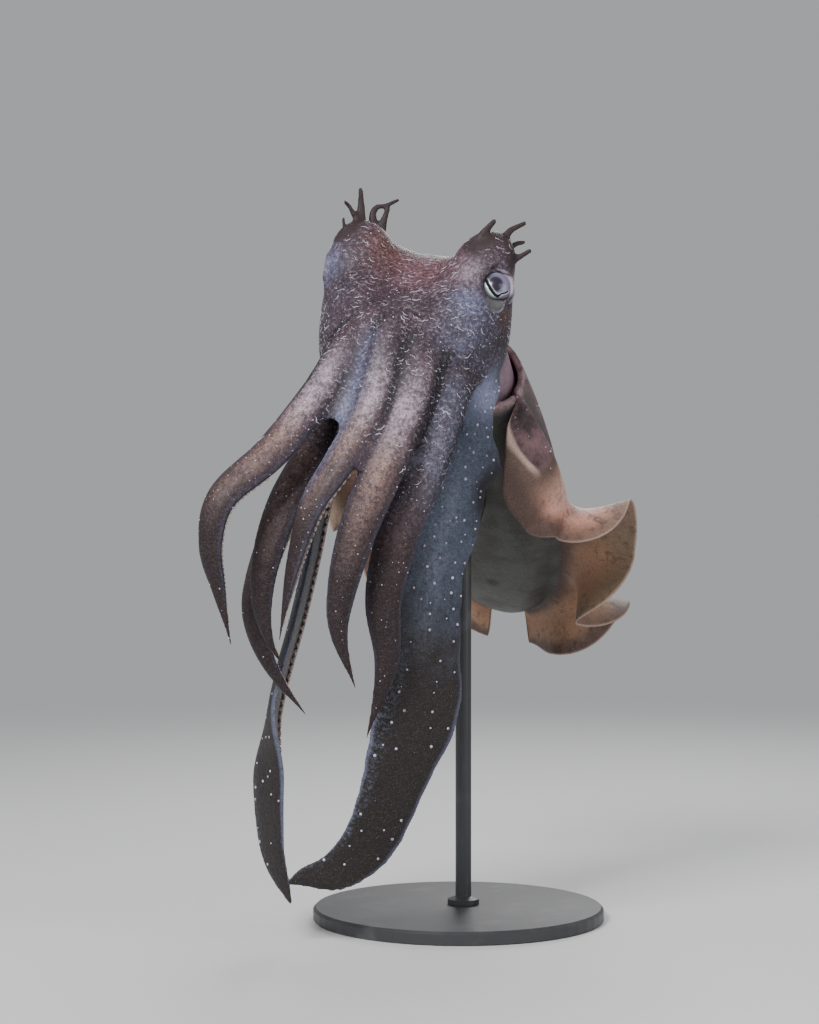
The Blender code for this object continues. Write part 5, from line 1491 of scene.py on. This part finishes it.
def make_mouth():
    forward, left, up = (np.array(head_turn @ Vector(way)) for way in ((1, 0, 0), (0, 1, 0), (0, 0, 1)))
    centre = np.array(head_frame @ Vector(MOUTH_PLACE))
    work = bmesh.new()
    rings = []
    for radius, ahead in through(MOUTH_PROFILE, 34):
        ring = []
        for k in range(168):
            turn = 2 * math.pi * k / 168
            front = ease(-0.004, 0.006, ahead)
            fold = 1 - LIP_FOLD_DEPTH * front * (0.5 + 0.5 * math.cos(LIP_FOLDS * turn))
            ring.append(centre + forward * ahead + (left * math.cos(turn) + up * math.sin(turn)) * radius * fold)
        rings.append(ring)
    add_loft(work, rings)
    mouth = skin_from(work, "lips")
    mouth.data.shade_smooth()
    return mouth


def make_funnel():
    left = np.array(mantle_frame.to_3x3() @ Vector((0, 1, 0)))
    along = Vector(FUNNEL[4][0]) - Vector(FUNNEL[0][0])
    deep = np.array(along.normalized().cross(Vector(left)).normalized())
    rows = through([(*place, wide, thick) for place, wide, thick in FUNNEL], 64)
    work = bmesh.new()
    add_loft(work, [ring_about(row[:3], left, deep, row[3], row[4], 72) for row in rows])
    funnel = skin_from(work, "funnel_tube")
    funnel.data.shade_smooth()
    return funnel


lip_skin = Finish("puckered_lip", Roughness=0.34, Coat_Weight=0.3, Coat_Roughness=0.2)
lip_mottle = lip_skin.noise(420.0, 3.0, 0.6)
lip_skin.set(Base_Color=lip_skin.blend(lip_skin.step(lip_mottle, 0.35, 0.70), LIP_PINK, LIP_SHADE))
lip_skin.bump(lip_mottle, 0.0005, 0.5)
mouth = make_mouth()
mouth.data.materials.append(lip_skin.material)
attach(mouth, body)
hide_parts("mouth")

funnel_skin = Finish("pale_funnel_skin", Roughness=0.42, Coat_Weight=0.16, Coat_Roughness=0.3)
funnel_mottle = funnel_skin.noise(190.0, 4.0, 0.6)
funnel_grain = funnel_skin.noise(1200.0, 2.0, 0.6)
funnel_skin.set(Base_Color=funnel_skin.blend(funnel_skin.step(funnel_mottle, 0.40, 0.70), FUNNEL_PALE, FUNNEL_DARK))
funnel_skin.set(Roughness=0.36 + funnel_grain * 0.2)
funnel_skin.bump(funnel_grain * 0.4 + funnel_mottle, 0.0006, 0.6)
funnel = make_funnel()
funnel.data.materials.append(funnel_skin.material)
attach(funnel, body)
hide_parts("funnel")


# The suckers. Each arm has four rows of them down its inner side, soft cups on short stalks that grow
# smaller towards the tip, and on the two broad arms they keep to the middle of the sheet.

SUCKER_ROWS = (-0.62, -0.22, 0.22, 0.62)
BANNER_SUCKER_ROWS = (-0.30, -0.10, 0.10, 0.30)
SUCKER_LARGEST = 0.0027
SUCKER_SMALLEST = 0.0007
SUCKER_CLOSENESS = 2.25
SUCKERS_START, SUCKERS_END = 0.12, 0.965
SUCKER_SIDES = 10
# The cup's section from its stalk over the rim to its floor: distance from the middle and height
SUCKER_SECTION = [(0.55, -0.35), (0.60, 0.30), (0.95, 0.62), (1.00, 0.86), (0.86, 1.00), (0.66, 0.84), (0.40, 0.48)]
SUCKER_PALE = (0.520, 0.430, 0.400)
SUCKER_SHADE = (0.190, 0.115, 0.105)
BAKE_PATCH = 0.003


class Graph:
    """A Geometry Nodes tree in the making, with named inputs."""

    def __init__(self, name, **kinds):
        self.tree = bpy.data.node_groups.new(name, "GeometryNodeTree")
        face = self.tree.interface
        face.new_socket("Geometry", in_out="INPUT", socket_type="NodeSocketGeometry")
        self.names = {}
        for key, kind in kinds.items():
            self.names[key] = face.new_socket(key, in_out="INPUT", socket_type="NodeSocket" + kind).identifier
        face.new_socket("Geometry", in_out="OUTPUT", socket_type="NodeSocketGeometry")
        self.entry = self.tree.nodes.new("NodeGroupInput")

    def given(self, name):
        return self.entry.outputs[name]

    def node(self, kind, settings=None, inputs=(), output=0):
        """Adds a node: first its settings, then the values or links of its sockets."""
        made = self.tree.nodes.new(kind)
        for key, value in (settings or {}).items():
            setattr(made, key, value)
        for key, value in inputs.items() if isinstance(inputs, dict) else enumerate(inputs):
            for link in value if isinstance(value, list) else [value]:
                if isinstance(link, bpy.types.NodeSocket):
                    self.tree.links.new(link, made.inputs[key])
                else:
                    made.inputs[key].default_value = link
        return made.outputs[output]

    def named(self, name, kind="FLOAT"):
        return self.node("GeometryNodeInputNamedAttribute", {"data_type": kind}, {0: name})

    def finish(self, instances):
        """Makes the instances one mesh, gives each its patch of the OFBake map, and its material."""
        real = self.node("GeometryNodeRealizeInstances", {}, {0: instances})
        patch = self.node("ShaderNodeVectorMath", {"operation": "MULTIPLY_ADD"},
                          [self.named("patch", "FLOAT_VECTOR"), (BAKE_PATCH, BAKE_PATCH, 0.0),
                           self.named("bake_place", "FLOAT_VECTOR")])
        mapped = self.node("GeometryNodeStoreNamedAttribute", {"data_type": "FLOAT2", "domain": "CORNER"},
                           {"Geometry": real, "Name": "OFBake", "Value": patch})
        coated = self.node("GeometryNodeSetMaterial", {}, {"Geometry": mapped, "Material": self.given("Material")})
        out = self.tree.nodes.new("NodeGroupOutput")
        self.tree.links.new(coated, out.inputs[0])

    def applied(self, obj, **values):
        """Runs the tree on an object with these inputs, and leaves a plain mesh."""
        grow = obj.modifiers.new("grow", "NODES")
        grow.node_group = self.tree
        for key, value in values.items():
            grow[self.names[key]] = value
        settled(obj)
        obj.data.shade_smooth()
        return obj


def turned_shape(name, section, sides):
    """A small turned shape with its axis along Z, closed at both ends."""
    work = bmesh.new()
    add_loft(work, [ring_about(Vector((0, 0, z)), Vector((1, 0, 0)), Vector((0, 1, 0)), r, r, sides)
                    for r, z in section])
    shape = skin_from(work, name)
    points = points_of(shape.data)
    low, high = points.min(axis=0), points.max(axis=0)
    store(shape, "patch", (points - low) / np.maximum(high - low, 1e-9), "FLOAT_VECTOR")
    return shape


def sucker_places(names):
    """Where the suckers sit on the skin: places, ways out, radii and their places on the bake map."""
    skin_tree = BVHTree.FromObject(head_skin, bpy.context.evaluated_depsgraph_get())
    places, ways, radii, maps = [], [], [], []
    for name in names:
        arm = ARMS[name]
        number = list(ARMS).index(name)
        rows, length = arm_lines[name]
        shares = BANNER_SUCKER_ROWS if arm.get("banner") else SUCKER_ROWS
        s, count = SUCKERS_START, 0
        while s < SUCKERS_END:
            place, outer = row_at(rows, s)
            broad = rows[min(int(s * (ARM_RINGS - 1)), ARM_RINGS - 1)][2]
            half = arm["width"] * arm_breadth(s, arm) / 2
            gap = (shares[1] - shares[0]) * half
            radius = min(SUCKER_LARGEST, max(SUCKER_SMALLEST, gap * 0.50))
            for row in (0, 2) if count % 2 else (1, 3):
                start = place + broad * (shares[row] * half) - outer * 0.030
                hit, normal, _, _ = skin_tree.ray_cast(start, outer, 0.030)
                if hit is not None and normal.dot(outer) < -0.45:
                    places.append(tuple(hit))
                    ways.append(tuple(normal))
                    radii.append(radius)
                    maps.append((0.50 + 0.06 * number + 0.05 * (0.75 + 0.2 * shares[row]), 0.02 + 0.90 * s, 0.0))
            s += radius * SUCKER_CLOSENESS * 0.5 / length
            count += 1
    return np.array(places), np.array(ways), radii, np.array(maps)


def sucker_graph():
    graph = Graph("suckers_on_points", Shape="Object", Material="Material")
    shape = graph.node("GeometryNodeObjectInfo", {}, {"Object": graph.given("Shape")}, output="Geometry")
    turn = graph.node("FunctionNodeAlignRotationToVector", {"axis": "Z"},
                      {"Vector": graph.named("way_out", "FLOAT_VECTOR")})
    cups = graph.node("GeometryNodeInstanceOnPoints", {},
                      {"Points": graph.given("Geometry"), "Instance": shape, "Rotation": turn,
                       "Scale": graph.named("sucker_radius")})
    graph.finish(cups)
    return graph


def sucker_finish():
    made = Finish("sucker_flesh", Roughness=0.36, Coat_Weight=0.25, Coat_Roughness=0.2)
    mottle = made.noise(520.0, 3.0, 0.6)
    made.set(Base_Color=made.blend(made.step(mottle, 0.38, 0.72), SUCKER_PALE, SUCKER_SHADE))
    made.bump(mottle, 0.0003, 0.5)
    return made.material


cup = turned_shape("cup", SUCKER_SECTION, SUCKER_SIDES)
cups_on_points = sucker_graph()
sucker_flesh = sucker_finish()
for side in ("left", "right"):
    places, ways, radii, maps = sucker_places([name for name in ARMS if side in name])
    suckers = skin_object(f"suckers_{side}", places, [])
    store(suckers, "way_out", ways, "FLOAT_VECTOR")
    store(suckers, "sucker_radius", radii)
    store(suckers, "bake_place", maps, "FLOAT_VECTOR")
    cups_on_points.applied(suckers, Shape=cup, Material=sucker_flesh)
    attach(suckers, body)
bpy.data.objects.remove(cup)


# The small ridges and dots of the skin. All over the face and the arms' bases the skin is drawn up into
# short, wavy, whitish ridges, and lower down and on the back into scattered white dots.

RIDGE_SPACING, RIDGE_DENSITY = 0.0027, 70000.0
RIDGE_SIZES = (0.0016, 0.0070)
RIDGE_SWING = math.radians(46)
DOT_SPACING, DOT_DENSITY = 0.0034, 30000.0
DOT_SIZES = (0.00026, 0.00066)
BACK_DOT_SPACING, BACK_DOT_DENSITY = 0.0060, 14000.0
BACK_DOT_SIZES = (0.0004, 0.0010)
RIDGE_LIE = (1.0, 0.0, -0.22)
RIDGE_STEPS, RIDGE_SIDES = 9, 4
RIDGE_FAT = 0.052
# Each ridge shape's two waves: how many along its length, how high and where they start
RIDGE_SHAPES = [((1.3, 0.085, 0.3), (3.1, 0.030, 1.0)), ((1.9, 0.070, 1.4), (2.6, 0.035, 4.0)),
                ((0.7, 0.110, 2.6), (3.6, 0.028, 0.5)), ((2.4, 0.060, 0.0), (1.2, 0.050, 2.2)),
                ((1.1, 0.050, 4.4), (2.9, 0.045, 3.1))]
DOT_SECTION = [(0.80, -0.5), (1.00, 0.10), (0.62, 0.62)]
KNOB_SECTION = [(1.00, -0.40), (1.05, 0.05), (0.85, 0.42), (0.42, 0.62)]
RIDGE_WHITE = (0.520, 0.500, 0.580)
RIDGE_PINKISH = (0.260, 0.185, 0.225)


def ridge_shape(name, *bends):
    """A wavy ridge one unit long, lying along X."""
    work = bmesh.new()
    rings = []
    for n in range(RIDGE_STEPS + 1):
        share = n / RIDGE_STEPS
        slope = sum(high * 2 * math.pi * waves * math.cos(2 * math.pi * waves * share + start)
                    for waves, high, start in bends)
        across = Vector((-slope, 1, 0)).normalized()
        fat = RIDGE_FAT * max(0.30, math.sin(math.pi * mix(0.06, 0.94, share))) ** 0.7
        rise = sum(high * math.sin(2 * math.pi * waves * share + start) for waves, high, start in bends)
        centre = Vector((share - 0.5, rise, 0))
        rings.append(ring_about(centre, across, Vector((0, 0, 1)), fat, fat * 0.95, RIDGE_SIDES))
    add_loft(work, rings)
    shape = skin_from(work, name)
    points = points_of(shape.data)
    store(shape, "patch", points * (1, 1, 0) + (0.5, 0.5, 0), "FLOAT_VECTOR")
    return shape


def scatter_graph():
    """Small shapes strewn over a skin by a density kept on it, lying roughly along one way."""
    graph = Graph("strewn_on_skin", Shapes="Collection", Material="Material", Density="String", Spacing="Float",
                  Most="Float", Smallest="Float", Largest="Float", Swing="Float", Seed="Int")
    density = graph.node("GeometryNodeInputNamedAttribute", {"data_type": "FLOAT"}, {0: graph.given("Density")})
    strewn = graph.tree.nodes.new("GeometryNodeDistributePointsOnFaces")
    strewn.distribute_method = "POISSON"
    for key, value in {"Mesh": graph.given("Geometry"), "Distance Min": graph.given("Spacing"),
                       "Density Max": graph.given("Most"), "Density Factor": density,
                       "Seed": graph.given("Seed")}.items():
        graph.tree.links.new(value, strewn.inputs[key])
    upright = graph.node("FunctionNodeAlignRotationToVector", {"axis": "Z"}, {"Vector": strewn.outputs["Normal"]})
    laid = graph.node("FunctionNodeAlignRotationToVector", {"axis": "X", "pivot_axis": "Z"},
                      {"Rotation": upright, "Vector": RIDGE_LIE})
    low = graph.node("ShaderNodeMath", {"operation": "MULTIPLY"}, [graph.given("Swing"), -1.0])
    swing = graph.node("FunctionNodeRandomValue", {"data_type": "FLOAT"},
                       {2: low, 3: graph.given("Swing"), 8: graph.given("Seed")}, output=1)
    spin = graph.node("ShaderNodeCombineXYZ", {}, {"Z": swing})
    turned = graph.node("FunctionNodeRotateRotation", {"rotation_space": "LOCAL"},
                        {"Rotation": laid, "Rotate By": spin})
    chance = graph.node("FunctionNodeRandomValue", {"data_type": "FLOAT"}, {2: 0.0, 3: 1.0, 8: 11}, output=1)
    small_often = graph.node("ShaderNodeMath", {"operation": "POWER"}, [chance, 1.9])
    size = graph.node("ShaderNodeMapRange", {}, {"Value": small_often, "To Min": graph.given("Smallest"),
                                                 "To Max": graph.given("Largest")})
    shapes = graph.node("GeometryNodeCollectionInfo", {}, {"Collection": graph.given("Shapes"),
                                                           "Separate Children": True, "Reset Children": True})
    kind = graph.node("FunctionNodeRandomValue", {"data_type": "INT"}, {4: 0, 5: len(RIDGE_SHAPES) - 1, 8: 5},
                      output=2)
    graph.finish(graph.node("GeometryNodeInstanceOnPoints", {},
                            {"Points": strewn.outputs["Points"], "Instance": shapes, "Pick Instance": True,
                             "Instance Index": kind, "Rotation": turned, "Scale": size}))
    return graph


def shapes_in(name, shapes):
    group = bpy.data.collections.new(name)
    for shape in shapes:
        group.objects.link(shape)
    return group


def ridge_finish():
    made = Finish("raised_white_skin", Roughness=0.42, Coat_Weight=0.2, Coat_Roughness=0.25)
    made.set(Base_Color=made.blend(made.step(made.noise(160.0, 3.0, 0.6), 0.42, 0.66), RIDGE_WHITE, RIDGE_PINKISH))
    return made.material


strewn_on_skin = scatter_graph()
raised_skin = ridge_finish()
dots = skin_object("banner_dots", dot_places, [])
store(dots, "way_out", dot_ways, "FLOAT_VECTOR")
store(dots, "sucker_radius", dot_sizes)
dot_rows, _, _ = nearest_rows(dot_places)
store(dots, "bake_place", np.stack([0.53 + 0.06 * dot_rows[:, 0], 0.02 + 0.90 * dot_rows[:, 1],
                                    np.zeros(len(dot_rows))], axis=1), "FLOAT_VECTOR")
knob = turned_shape("knob", KNOB_SECTION, 10)
cups_on_points.applied(dots, Shape=knob, Material=raised_skin)
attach(dots, body)
bpy.data.objects.remove(knob)
ridge_shapes = [ridge_shape(f"ridge_{n}", *shape) for n, shape in enumerate(RIDGE_SHAPES)]
dot_shapes = [turned_shape("dot", DOT_SECTION, 6)]
ridge_group, dot_group = shapes_in("ridges", ridge_shapes), shapes_in("dots", dot_shapes)
for name, ground, group, density, spacing, most, sizes, slot, seed in (
        ("skin_ridges", head_skin, ridge_group, "ridge_density", RIDGE_SPACING, RIDGE_DENSITY, RIDGE_SIZES, "skin", 3),
        ("skin_dots", head_skin, dot_group, "dot_density", DOT_SPACING, DOT_DENSITY, DOT_SIZES, "skin", 7),
        ("back_dots", mantle_skin, dot_group, "dot_density", BACK_DOT_SPACING, BACK_DOT_DENSITY, BACK_DOT_SIZES,
         "mantle_skin", 9)):
    strewn = bpy.data.objects.new(name, ground.data.copy())
    scene.collection.objects.link(strewn)
    strewn_on_skin.applied(strewn, Shapes=group, Material=raised_skin, Density=density, Spacing=spacing, Most=most,
                           Smallest=sizes[0], Largest=sizes[1], Swing=RIDGE_SWING, Seed=seed)
    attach(strewn, body)
for shape in ridge_shapes + dot_shapes:
    bpy.data.objects.remove(shape)
for group in (ridge_group, dot_group):
    bpy.data.collections.remove(group)


# The studio

camera_data = bpy.data.cameras.new("camera")
camera_data.sensor_fit = "VERTICAL"
camera_data.sensor_height = 36.0
camera_data.lens = 78.125
camera = bpy.data.objects.new("camera", camera_data)
camera.location = (-0.037, -1.685, 0.308)
camera.rotation_euler = (math.radians(90), 0, 0)
scene.collection.objects.link(camera)
scene.camera = camera

FLOOR_RADIUS = 9.0
FLOOR_FADE = (0.35, 2.1)
PALE = 0.60
STUDIO_GREY = (0.75, 0.76, 0.78)
STUDIO_STRENGTH = 0.54

work = bmesh.new()
bmesh.ops.create_circle(work, cap_ends=True, segments=96, radius=FLOOR_RADIUS)
floor = skin_from(work, "floor")
floor_finish = Finish("floor_paint", Base_Color=(PALE, PALE, PALE), Roughness=0.7)
# Far out, the floor turns into the same even grey as the studio behind it, so no horizon shows
reach = floor_finish.node("ShaderNodeVectorMath", {"operation": "LENGTH"}, {0: floor_finish.place()}, output="Value")
far_grey = floor_finish.tree.nodes.new("ShaderNodeEmission")
far_grey.inputs["Color"].default_value = (*STUDIO_GREY, 1)
far_grey.inputs["Strength"].default_value = STUDIO_STRENGTH
blended = floor_finish.tree.nodes.new("ShaderNodeMixShader")
floor_finish.put(blended.inputs["Fac"], floor_finish.step(reach, *FLOOR_FADE))
floor_finish.tree.links.new(floor_finish.shader.outputs[0], blended.inputs[1])
floor_finish.tree.links.new(far_grey.outputs[0], blended.inputs[2])
floor_finish.tree.links.new(blended.outputs[0], floor_finish.tree.nodes["Material Output"].inputs["Surface"])
floor.data.materials.append(floor_finish.material)

world = bpy.data.worlds.new("studio")
world.use_nodes = True
world.node_tree.nodes["Background"].inputs["Color"].default_value = (*STUDIO_GREY, 1)
world.node_tree.nodes["Background"].inputs["Strength"].default_value = STUDIO_STRENGTH
scene.world = world


def add_light(name, place, aim, size, power):
    data = bpy.data.lights.new(name, "AREA")
    data.size = size
    data.energy = power
    light = bpy.data.objects.new(name, data)
    light.location = place
    light.rotation_euler = (Vector(aim) - Vector(place)).to_track_quat("-Z", "Y").to_euler()
    scene.collection.objects.link(light)


add_light("key", (-0.9, -1.5, 1.5), (0, 0, 0.35), 0.7, 55)
add_light("fill", (1.5, -1.2, 0.9), (0, 0, 0.35), 1.2, 14)
add_light("rim", (0.4, 1.6, 1.4), (0, 0, 0.35), 1.0, 22)
